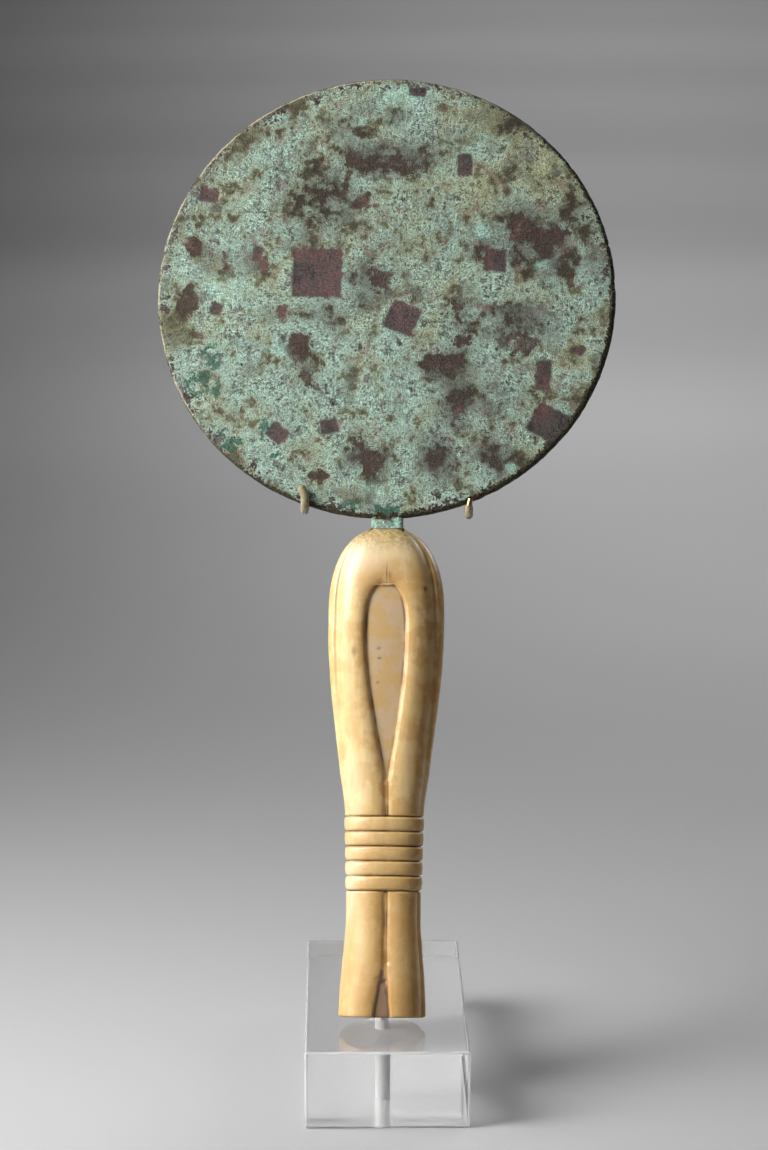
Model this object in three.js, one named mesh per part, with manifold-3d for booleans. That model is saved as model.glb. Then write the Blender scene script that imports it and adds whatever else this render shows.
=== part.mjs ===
// A copper alloy hand mirror with a carved ivory handle, leaning on its display stand.
// Millimetres, +Z up, +X to the viewer's right, the mirror's face towards -Y.
// The origin is the middle of the clear block's underside.

import * as THREE from 'three';
import { ConvexGeometry } from 'three/addons/geometries/ConvexGeometry.js';
import { LoftGeometry } from 'three/addons/geometries/LoftGeometry.js';
import { mergeVertices } from 'three/addons/utils/BufferGeometryUtils.js';
import Module from 'manifold-3d';

const wasm = await Module();
wasm.setup();

// Free space between pieces that touch
const clearance = 0.3;

// Clear block
const blockWidth = 50.8;
const blockDepth = 127;
const blockHeight = 24.2;
const blockChamfer = 0.8;
// The bore starts this far below the underside, so it is drilled right through
const boreFloor = - 0.3;

// How the mirror stands: its foot is near the middle of the block, and it leans back
const footX = -1.25;
const footY = -35.1;
const leanBack = 15;
const rollRight = 0.8;
const handleTwist = 2;

// Handle: a flattened oval that swells from a waist to round shoulders
const handleLength = 153.2;
const handleWidth = 36.5;
const handleDepth = 21.2;
const ovalPower = 2.4;
const crownPower = 2.35;
const crownFlatShare = 0.975;
const crownTopInset = 0.9;
const shoulderHeight = 0.818 * handleLength;
const footChamfer = 0.8;

// Five turns of binding around the handle, between six grooves
const bindingBottom = 0.2565 * handleLength;
const bindingTop = 0.407 * handleLength;
const bindingTurns = 5;
const bindingGrooveWidth = 0.9;
const bindingGrooveDepth = 0.8;
const bindingBulge = 0.3;

// Loop carved on each face: a sunk drop-shaped panel inside a round strand
const dropBottom = 0.471 * handleLength;
const dropWidest = 0.792 * handleLength;
const dropTop = 0.881 * handleLength;
const dropWidth = 0.345 * handleWidth;
const dropDepth = 1.8;
const dropTaperPower = 1.15;
const dropTopPower = 2.3;
const wallRun = 0.45;
const dropFootRun = 2.8;

// Groove below the drop and below the binding, and the split that opens at the foot
const seamWidth = 0.7;
const seamDepth = 0.9;
const seamDrift = 0.9;
const splitTop = 0.117 * handleLength;
const splitWidth = 4.8;
const splitDepth = 1.4;

// Grooves that part the front and back strands from the middle one
const strandEdgeDrop = 0.45;
const sideGrooveDepth = 1;
const sideGrooveWidth = 1.1;
const sideInsetAtShoulder = 0.12;
const sideInsetAtBinding = 0.025;

// Mirror disc, cast in one with its tang
const discWidth = 145.3;
const discHeight = 140;
const discThickness = 4.6;
const discEdgeRadius = 1.5;
const discGap = 2.9;
const discCentreHeight = handleLength + discGap + discHeight / 2;
const discShift = -1.25;
const discTwist = 3.5;
const discSides = 80;
const tangWidth = 10;
const tangThickness = 4;
const tangDepthInHandle = 32;
const tangDepthInDisc = 4;

// Brass stem behind the mirror, with two arms that end in prongs under the disc's rim
const stemDiameter = 4;
const stemGap = 1.2;
const stemStraightAboveBlock = 3;
const stemBendLength = 24;
const forkAboveHandle = 18;
const stemSides = 12;
const stemSteps = 24;
const wireDiameter = 1.6;
const wireSides = 8;
const wireSteps = 40;
const sleeveFit = 0.15;
const sleeveWall = 0.4;
const sleeveSides = 10;
const sleeveSteps = 18;
const sleeveStartShare = 0.56;
const armBackOff = 9.6;
const prongBendPower = 2.8;

// Prongs: place across, place of the tip, how far the tip stands above the rim, how far the bend
// sags below it, and how much shorter the wire or its sleeve is than the prong
const leftProngX = -26.1;
const leftTipX = -27.4;
const leftReach = 5.4;
const leftWireShort = 0.8;
const rightProngX = 25.4;
const rightTipX = 25.9;
const rightReach = 1;
const rightSag = 3.5;
const rightSleeveShort = 2.2;
const prongs = [
	{
		name: 'prong_sleeve_left',
		x: leftProngX,
		tipX: leftTipX,
		reach: leftReach,
		sag: 0,
		wireShort: leftWireShort,
		sleeveShort: 0,
	},
	{
		name: 'prong_sleeve_right',
		x: rightProngX,
		tipX: rightTipX,
		reach: rightReach,
		sag: rightSag,
		wireShort: 0,
		sleeveShort: rightSleeveShort,
	},
];

const radians = THREE.MathUtils.degToRad;

// Finishes, as the colours show
const bronze = new THREE.MeshStandardMaterial( { color: 0x8fae9b, roughness: 0.9, metalness: 0.1 } );
const ivory = new THREE.MeshStandardMaterial( { color: 0xd9b878, roughness: 0.45, metalness: 0 } );
const brass = new THREE.MeshStandardMaterial( { color: 0xb5934f, roughness: 0.35, metalness: 1 } );
const sleeving = new THREE.MeshStandardMaterial( { color: 0xc9b896, roughness: 0.4, metalness: 0 } );
const acrylic = new THREE.MeshStandardMaterial( {
	color: 0xe9eded,
	roughness: 0.05,
	metalness: 0,
	transparent: true,
	opacity: 0.5,
} );

// Solids

function solidFrom( geometry ) {

	const bare = geometry.index ? geometry.toNonIndexed() : geometry.clone();
	bare.deleteAttribute( 'normal' );
	bare.deleteAttribute( 'uv' );
	const merged = mergeVertices( bare, 1e-4 );
	const vertProperties = new Float32Array( merged.getAttribute( 'position' ).array );
	const triVerts = new Uint32Array( merged.index.array );
	return new wasm.Manifold( new wasm.Mesh( { numProp: 3, vertProperties, triVerts } ) );

}

function geometryFrom( solid ) {

	const mesh = solid.getMesh();
	const geometry = new THREE.BufferGeometry();
	geometry.setAttribute( 'position', new THREE.BufferAttribute( new Float32Array( mesh.vertProperties ), 3 ) );
	geometry.setIndex( new THREE.BufferAttribute( new Uint32Array( mesh.triVerts ), 1 ) );
	geometry.computeVertexNormals();
	return geometry;

}

function addPiece( group, name, geometry, material ) {

	const mesh = new THREE.Mesh( geometry, material );
	mesh.name = name;
	group.add( mesh );
	return mesh;

}

// Evenly spaced values from the first to the last, both included
function spread( first, last, count ) {

	const values = [];
	for ( let i = 0; i < count; i ++ ) values.push( THREE.MathUtils.lerp( first, last, i / ( count - 1 ) ) );
	return values;

}

// Handle outline

// Half width and half depth as shares of the fullest, at shares of the height up to the shoulder
const outlineStations = [ 0, 0.08, 0.175, 0.27, 0.5, 0.6, 0.71, 0.825, 0.93, 1 ];
const widthShares = [ 0.75, 0.725, 0.668, 0.638, 0.676, 0.76, 0.855, 0.948, 0.995, 1 ];
const depthShares = [ 0.85, 0.835, 0.81, 0.79, 0.82, 0.86, 0.91, 0.96, 0.99, 1 ];

function curveThrough( shares ) {

	const points = outlineStations.map( ( station, i ) => new THREE.Vector2( station, shares[ i ] ) );
	const samples = new THREE.SplineCurve( points ).getPoints( 200 );
	return ( station ) => {

		const next = samples.findIndex( ( point ) => point.x >= station );
		if ( next <= 0 ) return samples[ 0 ].y;
		const before = samples[ next - 1 ];
		const after = samples[ next ];
		return THREE.MathUtils.mapLinear( station, before.x, after.x, before.y, after.y );

	};

}

const widthShareAt = curveThrough( widthShares );
const depthShareAt = curveThrough( depthShares );

function crownShare( height ) {

	const rise = ( height - shoulderHeight ) / ( handleLength - shoulderHeight );
	return Math.pow( 1 - Math.pow( rise, crownPower ), 1 / crownPower );

}

function halfWidthAt( height ) {

	if ( height > shoulderHeight ) return handleWidth / 2 * crownShare( height );
	return handleWidth / 2 * widthShareAt( height / shoulderHeight );

}

function halfDepthAt( height ) {

	if ( height > shoulderHeight ) return handleDepth / 2 * crownShare( height );
	return handleDepth / 2 * depthShareAt( height / shoulderHeight );

}

// Handle carving

function isBound( height ) {

	return height > bindingBottom && height < bindingTop;

}

// Half width of what is cut along the middle of a face: the drop, a seam or the split at the foot
function cutHalfWidth( height ) {

	const seam = seamWidth / 2;
	if ( height < splitTop ) return Math.max( seam, splitWidth / 2 * ( 1 - height / splitTop ) );
	if ( height <= dropBottom || height >= dropTop ) return seam;
	if ( height < dropWidest ) {

		const rise = ( height - dropBottom ) / ( dropWidest - dropBottom );
		const swell = Math.pow( Math.sin( rise * Math.PI / 2 ), dropTaperPower );
		return Math.max( seam, dropWidth / 2 * swell );

	}

	const rise = ( height - dropWidest ) / ( dropTop - dropWidest );
	const arch = Math.pow( 1 - Math.pow( rise, dropTopPower ), 1 / dropTopPower );
	return Math.max( seam, dropWidth / 2 * arch );

}

function cutDepth( height ) {

	if ( isBound( height ) || height >= dropTop ) return 0;
	if ( height < splitTop ) return THREE.MathUtils.lerp( splitDepth, seamDepth, height / splitTop );
	if ( height < dropBottom ) return seamDepth;
	return THREE.MathUtils.lerp( seamDepth, dropDepth, Math.min( 1, ( height - dropBottom ) / dropFootRun ) );

}

// Distance of the side grooves from the outline, as a share of the half width
function sideInset( height ) {

	const rise = ( height - bindingTop ) / ( shoulderHeight - bindingTop );
	return THREE.MathUtils.lerp( sideInsetAtBinding, sideInsetAtShoulder, THREE.MathUtils.clamp( rise, 0, 1 ) );

}

// How deep the surface is sunk below the plain oval by the turns of binding
function bindingSink( height ) {

	const turn = ( bindingTop - bindingBottom ) / bindingTurns;
	const phase = ( height - bindingBottom ) / turn;
	const distance = Math.abs( phase - Math.round( phase ) ) * turn;
	const groove = bindingGrooveDepth * Math.max( 0, 1 - distance / ( bindingGrooveWidth / 2 ) );
	if ( ! isBound( height ) ) return groove;
	return groove - bindingBulge * Math.sin( Math.PI * ( phase - Math.floor( phase ) ) );

}

// Where the surface is cut across one strand, and how the carving narrows on the crown,
// as shares of the strand's width, of the half width and of the side groove's inset
const strandSteps = [ 0, 0.14, 0.5, 0.86, 1 ];
const strandRoundPower = 3;
const middleStrandShare = 0.33;
const widestCutShare = 0.4;
const widestWallShare = 0.05;
const widestGrooveShare = 0.6;

// One quarter of a section, from the middle of a face to the side: how far across and how deep
function quarterColumns( height ) {

	const halfWidth = halfWidthAt( height );
	const cut = Math.min( cutHalfWidth( height ), halfWidth * widestCutShare );
	const depth = cutDepth( height );
	const strandStart = cut + Math.min( wallRun, halfWidth * widestWallShare );
	const inset = halfWidth * sideInset( height );
	const groove = halfWidth - inset;
	const grooveHalf = Math.min( sideGrooveWidth / 2, inset * widestGrooveShare );
	const sideDepth = isBound( height ) ? 0 : sideGrooveDepth * halfWidth / ( handleWidth / 2 );
	const outerDrop = isBound( height ) ? 0 : strandEdgeDrop;
	const innerDrop = depth > 0 ? strandEdgeDrop : 0;
	const strandEnd = groove - grooveHalf;
	const columns = [
		{ across: 0, sink: depth },
		{ across: cut / 2, sink: depth },
		{ across: cut, sink: depth },
	];
	for ( const step of strandSteps ) {

		const across = THREE.MathUtils.lerp( strandStart, strandEnd, step );
		const edgeDrop = step < 0.5 ? innerDrop : outerDrop;
		columns.push( { across, sink: edgeDrop * Math.pow( Math.abs( 2 * step - 1 ), strandRoundPower ) } );

	}

	columns.push( { across: groove, sink: sideDepth } );
	columns.push( { across: groove + grooveHalf, sink: outerDrop * middleStrandShare } );
	columns.push( { across: halfWidth, sink: 0 } );
	return columns;

}

// A point on the oval section, sunk square to the surface
function ovalPoint( height, column, sideSign, faceSign ) {

	const halfWidth = halfWidthAt( height );
	const halfDepth = halfDepthAt( height );
	const share = Math.min( 1, column.across / halfWidth );
	const outShare = Math.pow( 1 - Math.pow( share, ovalPower ), 1 / ovalPower );
	const slopeX = Math.pow( share, ovalPower - 1 ) / halfWidth;
	const slopeY = Math.pow( outShare, ovalPower - 1 ) / halfDepth;
	const slope = Math.hypot( slopeX, slopeY );
	const sink = column.sink + bindingSink( height );
	const x = share * halfWidth - sink * slopeX / slope;
	const y = outShare * halfDepth - sink * slopeY / slope;
	const drift = faceSign < 0 ? seamDriftAt( height ) * outShare : 0;
	return new THREE.Vector3( sideSign * x + drift, faceSign * y, height );

}

// The seam on the front wanders to the viewer's right below the drop, as a hand cut it
function seamDriftAt( height ) {

	const fromDrop = THREE.MathUtils.smoothstep( dropWidest - height, 0, dropWidest - bindingTop );
	const fromFoot = THREE.MathUtils.smoothstep( height, 0, splitTop );
	return seamDrift * Math.min( fromDrop, fromFoot );

}

// A whole section, anticlockwise seen from above, starting at the middle of the back
function handleSection( height ) {

	const quarter = quarterColumns( height );
	const last = quarter.length - 1;
	const points = [];
	for ( let i = 0; i < last; i ++ ) points.push( ovalPoint( height, quarter[ i ], - 1, 1 ) );
	for ( let i = last; i > 0; i -- ) points.push( ovalPoint( height, quarter[ i ], - 1, - 1 ) );
	for ( let i = 0; i < last; i ++ ) points.push( ovalPoint( height, quarter[ i ], 1, - 1 ) );
	for ( let i = last; i > 0; i -- ) points.push( ovalPoint( height, quarter[ i ], 1, 1 ) );
	return points;

}

// Where the sections lie up the crown, as shares of its height
const crownSteps = [ 0.48, 0.6, 0.71, 0.81, 0.89, 0.94, crownFlatShare ];

function handleHeights() {

	const edge = bindingGrooveWidth / 2;
	const turn = ( bindingTop - bindingBottom ) / bindingTurns;
	const heights = [ footChamfer, ...spread( splitTop / 4, splitTop, 4 ) ];
	heights.push( ...spread( splitTop + turn, bindingBottom - 2 * edge, 3 ) );
	for ( let i = 0; i <= bindingTurns; i ++ ) {

		const middle = bindingBottom + turn * i;
		heights.push( middle - edge, middle, middle + edge );
		if ( i < bindingTurns ) heights.push( middle + turn / 2 );

	}

	heights.push( ...spread( bindingTop + 2 * edge, dropBottom, 3 ) );
	heights.push( ...spread( dropBottom + dropFootRun, dropWidest, 13 ) );
	heights.push( ...spread( dropWidest + dropFootRun, dropTop - wallRun, 6 ), dropTop );
	const crownHeight = handleLength - shoulderHeight;
	for ( const share of crownSteps ) heights.push( shoulderHeight + crownHeight * share );
	return heights;

}

// The foot's bottom section is drawn in by its chamfer
function footSection() {

	const inset = 1 - footChamfer / ( handleDepth / 2 );
	return handleSection( footChamfer ).map( ( point ) => {

		return new THREE.Vector3( point.x * inset, point.y * inset, 0 );

	} );

}

function crownSection() {

	const last = THREE.MathUtils.lerp( shoulderHeight, handleLength, crownFlatShare );
	return handleSection( last ).map( ( point ) => {

		return new THREE.Vector3( point.x * crownTopInset, point.y * crownTopInset, handleLength );

	} );

}

// Slot that the tang fits, and the tang itself when there is no extra room
function tangBlank( room ) {

	const bottom = handleLength - tangDepthInHandle - room;
	const top = discCentreHeight - discHeight / 2 + tangDepthInDisc;
	const blank = new THREE.BoxGeometry( tangWidth + 2 * room, tangThickness + 2 * room, top - bottom );
	blank.translate( 0, 0, ( top + bottom ) / 2 );
	blank.rotateZ( - radians( discTwist ) );
	return blank;

}

function handleGeometry() {

	const sections = [ footSection(), ...handleHeights().map( handleSection ), crownSection() ];
	const blank = solidFrom( new LoftGeometry( sections, { capStart: true, capEnd: true } ) );
	return geometryFrom( blank.subtract( solidFrom( tangBlank( clearance ) ) ) );

}

// Mirror disc

function discGeometry() {

	const half = discThickness / 2;
	const radius = discWidth / 2;
	const flat = radius - discEdgeRadius;
	const profile = [ new THREE.Vector2( 0, - half ) ];
	for ( const side of [ - 1, 1 ] ) {

		for ( const angle of spread( side < 0 ? - 90 : 0, side < 0 ? 0 : 90, 4 ) ) {

			const out = flat + discEdgeRadius * Math.cos( radians( angle ) );
			const centre = side * ( half - discEdgeRadius );
			profile.push( new THREE.Vector2( out, centre + discEdgeRadius * Math.sin( radians( angle ) ) ) );

		}

	}

	profile.push( new THREE.Vector2( 0, half ) );
	const disc = new THREE.LatheGeometry( profile, discSides );
	disc.scale( 1, 1, discHeight / discWidth );
	disc.translate( discShift, 0, discCentreHeight );
	disc.rotateZ( - radians( discTwist ) );
	return geometryFrom( solidFrom( disc ).add( solidFrom( tangBlank( 0 ) ) ) );

}

// Placing the mirror

const footHalfDepth = handleDepth / 2 * depthShares[ 0 ];
const footZ = blockHeight + clearance + footHalfDepth * Math.sin( radians( leanBack ) );
const leaning = new THREE.Group();
leaning.position.set( footX, footY, footZ );
leaning.rotation.set( - radians( leanBack ), radians( rollRight ), 0 );
leaning.updateMatrix();

// A point beside the mirror, given by its place across, behind and along the leaning handle
function besideMirror( across, behind, along ) {

	return new THREE.Vector3( across, behind, along ).applyMatrix4( leaning.matrix );

}

// Block

function blockBlank() {

	const points = [];
	const half = new THREE.Vector3( blockWidth / 2, blockDepth / 2, blockHeight / 2 );
	const inner = half.clone().subScalar( blockChamfer );
	for ( const axis of [ 'x', 'y', 'z' ] ) {

		const reach = inner.clone();
		reach[ axis ] = half[ axis ];
		for ( let corner = 0; corner < 8; corner ++ ) {

			const sign = new THREE.Vector3( corner & 1 ? 1 : - 1, corner & 2 ? 1 : - 1, corner & 4 ? 1 : - 1 );
			points.push( reach.clone().multiply( sign ) );

		}

	}

	const blank = new ConvexGeometry( points );
	blank.translate( 0, 0, blockHeight / 2 );
	return blank;

}

const stemBehind = handleDepth / 2 + stemGap + stemDiameter / 2;
const forkHeight = handleLength + forkAboveHandle;
const boreDepth = blockHeight - boreFloor;
const stemFoot = stemFootPlace();

// Where the leaning stem's line comes down to the top of the straight part above the block
function stemFootPlace() {

	const top = blockHeight + stemStraightAboveBlock + stemBendLength / 2;
	const low = besideMirror( 0, stemBehind, 0 );
	const high = besideMirror( 0, stemBehind, forkHeight );
	const share = ( top - low.z ) / ( high.z - low.z );
	return low.lerp( high, share );

}

function blockGeometry() {

	const radius = stemDiameter / 2 + clearance;
	const bore = new THREE.CylinderGeometry( radius, radius, boreDepth * 2, 2 * stemSides );
	bore.rotateX( Math.PI / 2 );
	bore.translate( stemFoot.x, stemFoot.y, blockHeight );
	return geometryFrom( solidFrom( blockBlank() ).subtract( solidFrom( bore ) ) );

}

// Stem and prongs

function roundShape( radius, sides ) {

	const shape = new THREE.Shape();
	for ( let i = 0; i < sides; i ++ ) {

		const angle = 2 * Math.PI * i / sides;
		const point = [ radius * Math.cos( angle ), radius * Math.sin( angle ) ];
		if ( i === 0 ) shape.moveTo( ...point );
		else shape.lineTo( ...point );

	}

	shape.closePath();
	return shape;

}

function sweep( shape, path, steps ) {

	return new THREE.ExtrudeGeometry( shape, { extrudePath: path, steps, bevelEnabled: false } );

}

function stemPath() {

	const bottom = new THREE.Vector3( stemFoot.x, stemFoot.y, blockHeight - boreDepth + clearance );
	const bendStart = new THREE.Vector3( stemFoot.x, stemFoot.y, blockHeight + stemStraightAboveBlock );
	const top = besideMirror( 0, stemBehind, forkHeight );
	const along = top.clone().sub( stemFoot ).normalize();
	const bendEnd = stemFoot.clone().addScaledVector( along, stemBendLength / 2 );
	const path = new THREE.CurvePath();
	path.add( new THREE.LineCurve3( bottom, bendStart ) );
	path.add( new THREE.QuadraticBezierCurve3( bendStart, stemFoot, bendEnd ) );
	path.add( new THREE.LineCurve3( bendEnd, top.addScaledVector( along, wireDiameter ) ) );
	return path;

}

// Height of the disc's rim over a place across, and depth of the disc's middle plane there
const wholeTwist = radians( handleTwist + discTwist );

function rimHeight( across ) {

	const share = ( across / Math.cos( wholeTwist ) - discShift ) / ( discWidth / 2 );
	return discCentreHeight - discHeight / 2 * Math.sqrt( 1 - share * share );

}

function discBehind( across ) {

	return - across * Math.tan( wholeTwist );

}

const sleeveBore = wireDiameter / 2 + sleeveFit;
const sleeveRadius = sleeveBore + sleeveWall;

// A sine or cosine drawn out so that a circle bends more like a square
function squared( value ) {

	return Math.pow( Math.max( 0, value ), 2 / prongBendPower );

}

// A wire from the fork, out behind the disc, down, under the rim and up in front of it
function prongPath( prong ) {

	const off = sleeveRadius + clearance;
	const half = discThickness / 2 / Math.cos( wholeTwist );
	const bend = half + off;
	const rim = rimHeight( prong.x );
	const middle = discBehind( prong.x );
	const points = [
		[ 0, stemBehind, forkHeight ],
		[ prong.x / 2, ( stemBehind + middle + bend ) / 2 + wireDiameter, forkHeight - wireDiameter ],
		[ prong.x, middle + bend + wireDiameter, rim + armBackOff ],
	];
	for ( const angle of spread( 0, Math.PI, 7 ) ) {

		const forward = ( 1 - Math.cos( angle ) ) / 2;
		const behind = Math.sign( Math.cos( angle ) ) * squared( Math.abs( Math.cos( angle ) ) );
		const below = squared( Math.sin( angle ) );
		points.push( [ prong.x, middle + bend * behind, rim + half - bend * below - prong.sag * forward ] );

	}

	points.push( [ prong.tipX, middle - bend, rim + prong.reach ] );
	const placed = points.map( ( point ) => besideMirror( ...point ) );
	return new THREE.CatmullRomCurve3( placed, false, 'centripetal' );

}

// A stretch of a path, from a share of its length to a distance short of its end
function stretchOf( path, firstShare, shortBy, count ) {

	const lastShare = 1 - shortBy / path.getLength();
	const shares = spread( firstShare, lastShare, count );
	return new THREE.CatmullRomCurve3( shares.map( ( share ) => path.getPointAt( share ) ) );

}

function standRodGeometry() {

	let rod = solidFrom( sweep( roundShape( stemDiameter / 2, stemSides ), stemPath(), stemSteps ) );
	for ( const prong of prongs ) {

		const path = stretchOf( prongPath( prong ), 0, prong.wireShort, wireSteps + 1 );
		const wire = sweep( roundShape( wireDiameter / 2, wireSides ), path, wireSteps );
		rod = rod.add( solidFrom( wire ) );

	}

	return geometryFrom( rod );

}

function sleeveGeometry( prong ) {

	const ring = roundShape( sleeveRadius, sleeveSides );
	ring.holes.push( roundShape( sleeveBore, sleeveSides ) );
	const path = stretchOf( prongPath( prong ), sleeveStartShare, prong.sleeveShort, sleeveSteps + 1 );
	return geometryFrom( solidFrom( sweep( ring, path, sleeveSteps ) ) );

}

// Assembly

const mirrorOnStand = new THREE.Group();
const turned = new THREE.Group();
turned.rotation.z = - radians( handleTwist );
leaning.add( turned );
mirrorOnStand.add( leaning );
addPiece( turned, 'mirror_disc', discGeometry(), bronze );
addPiece( turned, 'handle', handleGeometry(), ivory );
addPiece( mirrorOnStand, 'stand_block', blockGeometry(), acrylic );
addPiece( mirrorOnStand, 'stand_rod', standRodGeometry(), brass );
for ( const prong of prongs ) addPiece( mirrorOnStand, prong.name, sleeveGeometry( prong ), sleeving );

export default mirrorOnStand;
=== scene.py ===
# A copper alloy hand mirror with a carved ivory handle, leaning on its display stand.
# Named sizes are millimetres, with the same values as the solids. Each mesh is shaped in
# millimetres in its own upright frame, and settled in metres where the mirror leans.

import math
from types import SimpleNamespace

import bpy
import numpy as np
from mathutils import Matrix, Vector, noise


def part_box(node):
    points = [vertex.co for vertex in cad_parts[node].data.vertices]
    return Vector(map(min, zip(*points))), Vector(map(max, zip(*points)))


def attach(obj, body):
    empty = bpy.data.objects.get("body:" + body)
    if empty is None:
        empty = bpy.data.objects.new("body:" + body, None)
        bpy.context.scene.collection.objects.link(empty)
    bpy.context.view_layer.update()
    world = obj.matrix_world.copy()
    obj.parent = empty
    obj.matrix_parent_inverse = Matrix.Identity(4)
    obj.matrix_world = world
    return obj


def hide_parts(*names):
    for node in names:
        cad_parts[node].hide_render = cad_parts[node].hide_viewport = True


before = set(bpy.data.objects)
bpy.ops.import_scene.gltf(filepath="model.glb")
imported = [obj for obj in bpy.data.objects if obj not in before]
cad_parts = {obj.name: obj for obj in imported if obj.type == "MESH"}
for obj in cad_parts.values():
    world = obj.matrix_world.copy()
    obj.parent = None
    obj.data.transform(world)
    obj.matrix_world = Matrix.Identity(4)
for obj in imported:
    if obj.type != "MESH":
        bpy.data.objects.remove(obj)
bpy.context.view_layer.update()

MM = 0.001
BODY = "root"
CLEARANCE = 0.3

# How the mirror stands
FOOT_ACROSS = -1.25
FOOT_BEHIND = -35.1
LEAN_BACK = 15
ROLL_RIGHT = 0.8
HANDLE_TWIST = 2
DISC_TWIST = 3.5

# Handle
HANDLE_LENGTH = 153.2
HANDLE_WIDTH = 36.5
HANDLE_DEPTH = 21.2
OVAL_POWER = 2.4
CROWN_POWER = 2.35
SHOULDER = 0.818 * HANDLE_LENGTH
FOOT_CHAMFER = 0.8
OUTLINE_STATIONS = [0, 0.08, 0.175, 0.27, 0.5, 0.6, 0.71, 0.825, 0.93, 1]
WIDTH_SHARES = [0.75, 0.725, 0.668, 0.638, 0.676, 0.76, 0.855, 0.948, 0.995, 1]
DEPTH_SHARES = [0.85, 0.835, 0.81, 0.79, 0.82, 0.86, 0.91, 0.96, 0.99, 1]

# Binding, drop, seams and side grooves carved in the handle
BINDING_BOTTOM = 0.2565 * HANDLE_LENGTH
BINDING_TOP = 0.407 * HANDLE_LENGTH
BINDING_TURNS = 5
BINDING_GROOVE_WIDTH = 0.9
BINDING_GROOVE_DEPTH = 0.8
BINDING_BULGE = 0.3
DROP_BOTTOM = 0.471 * HANDLE_LENGTH
DROP_WIDEST = 0.792 * HANDLE_LENGTH
DROP_TOP = 0.881 * HANDLE_LENGTH
DROP_WIDTH = 0.345 * HANDLE_WIDTH
DROP_DEPTH = 1.8
DROP_TAPER_POWER = 1.15
DROP_TOP_POWER = 2.3
DROP_FOOT_RUN = 2.8
WALL_RUN = 0.8
SEAM_WIDTH = 0.7
SEAM_DEPTH = 0.9
SEAM_DRIFT = 0.9
SPLIT_TOP = 0.117 * HANDLE_LENGTH
SPLIT_WIDTH = 4.8
SPLIT_DEPTH = 1.4
STRAND_EDGE_DROP = 0.95
STRAND_INNER_DROP = 1.3
STRAND_ROUND_POWER = 2.4
MIDDLE_STRAND_SHARE = 0.33
SIDE_GROOVE_DEPTH = 1
SIDE_GROOVE_WIDTH = 1.1
SIDE_INSET_SHOULDER = 0.12
SIDE_INSET_BINDING = 0.025
WIDEST_CUT_SHARE = 0.4
WIDEST_WALL_SHARE = 0.05
WIDEST_GROOVE_SHARE = 0.6

# Disc and tang
DISC_WIDTH = 145.3
DISC_HEIGHT = 140
DISC_THICKNESS = 4.6
DISC_EDGE_RADIUS = 1.5
DISC_GAP = 2.9
DISC_CENTRE = HANDLE_LENGTH + DISC_GAP + DISC_HEIGHT / 2
DISC_SHIFT = -1.25
TANG_WIDTH = 10
TANG_THICKNESS = 4
TANG_IN_HANDLE = 32
TANG_IN_DISC = 4

# Block, stem, prongs and sleeves
BLOCK_CHAMFER = 0.8
# The bore starts this far below the underside, so it is drilled right through
BORE_FLOOR = -0.3
STEM_DIAMETER = 4
STEM_GAP = 1.2
STEM_STRAIGHT = 3
STEM_BEND = 24
FORK_RISE = 18
WIRE_DIAMETER = 1.6
SLEEVE_FIT = 0.15
SLEEVE_WALL = 0.4
SLEEVE_START = 0.56
ARM_BACK_OFF = 9.6
PRONG_BEND_POWER = 2.8
PRONGS = {
    "left": dict(across=-26.1, tip=-27.4, reach=5.4, sag=0, wire_short=0.8, sleeve_short=0),
    "right": dict(across=25.4, tip=25.9, reach=1, sag=3.5, wire_short=0, sleeve_short=2.2),
}


# Placing

def turned(degrees, axis):
    return Matrix.Rotation(math.radians(degrees), 4, axis)


block_low, block_high = (Vector(corner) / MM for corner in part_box("stand_block"))
foot_half_depth = HANDLE_DEPTH / 2 * DEPTH_SHARES[0]
foot_up = block_high.z + CLEARANCE + foot_half_depth * math.sin(math.radians(LEAN_BACK))
leaning = Matrix.Translation((FOOT_ACROSS, FOOT_BEHIND, foot_up))
leaning = leaning @ turned(-LEAN_BACK, "X") @ turned(ROLL_RIGHT, "Y")
handle_place = leaning @ turned(-HANDLE_TWIST, "Z")
disc_place = handle_place @ turned(-DISC_TWIST, "Z") @ Matrix.Translation((DISC_SHIFT, 0, DISC_CENTRE))


# Meshes

def add_object(name, data):
    made = bpy.data.objects.new(name, data)
    bpy.context.scene.collection.objects.link(made)
    return made


def make_piece(name, points, faces):
    """A smooth mesh object, still in millimetres in its own upright frame."""
    mesh = bpy.data.meshes.new(name)
    mesh.from_pydata(np.asarray(points).tolist(), [], faces)
    mesh.shade_smooth()
    return add_object(name, mesh)


def bake(piece):
    """Replaces an object's mesh by what its modifiers make of it."""
    graph = bpy.context.evaluated_depsgraph_get()
    piece.data = bpy.data.meshes.new_from_object(piece.evaluated_get(graph))
    piece.data.name = piece.name
    piece.modifiers.clear()


def combine(piece, other, operation):
    """Joins or cuts one closed mesh by another, which is then gone."""
    cut = piece.modifiers.new("cut", "BOOLEAN")
    cut.operation = operation
    cut.solver = "EXACT"
    cut.object = other
    bake(piece)
    bpy.data.objects.remove(other)


def settle(piece, place, material, node):
    """Puts a finished mesh in its place, in metres, with its finish, and hides the imported part it stands
    for.
    """
    piece.data.transform(Matrix.Scale(MM, 4) @ place)
    piece.data.materials.clear()
    piece.data.materials.append(material)
    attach(piece, BODY)
    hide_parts(node)


def closed_quads(rows, columns):
    """Quads between rows of points that each close on themselves, and a lid at either end."""
    row, column = np.meshgrid(np.arange(rows - 1), np.arange(columns), indexing="ij")
    after = (column + 1) % columns
    low = row * columns
    high = low + columns
    quads = np.stack([low + column, low + after, high + after, high + column], -1).reshape(-1, 4)
    count = rows * columns
    return quads.tolist() + [list(range(columns))[::-1], list(range(count - columns, count))]


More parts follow.
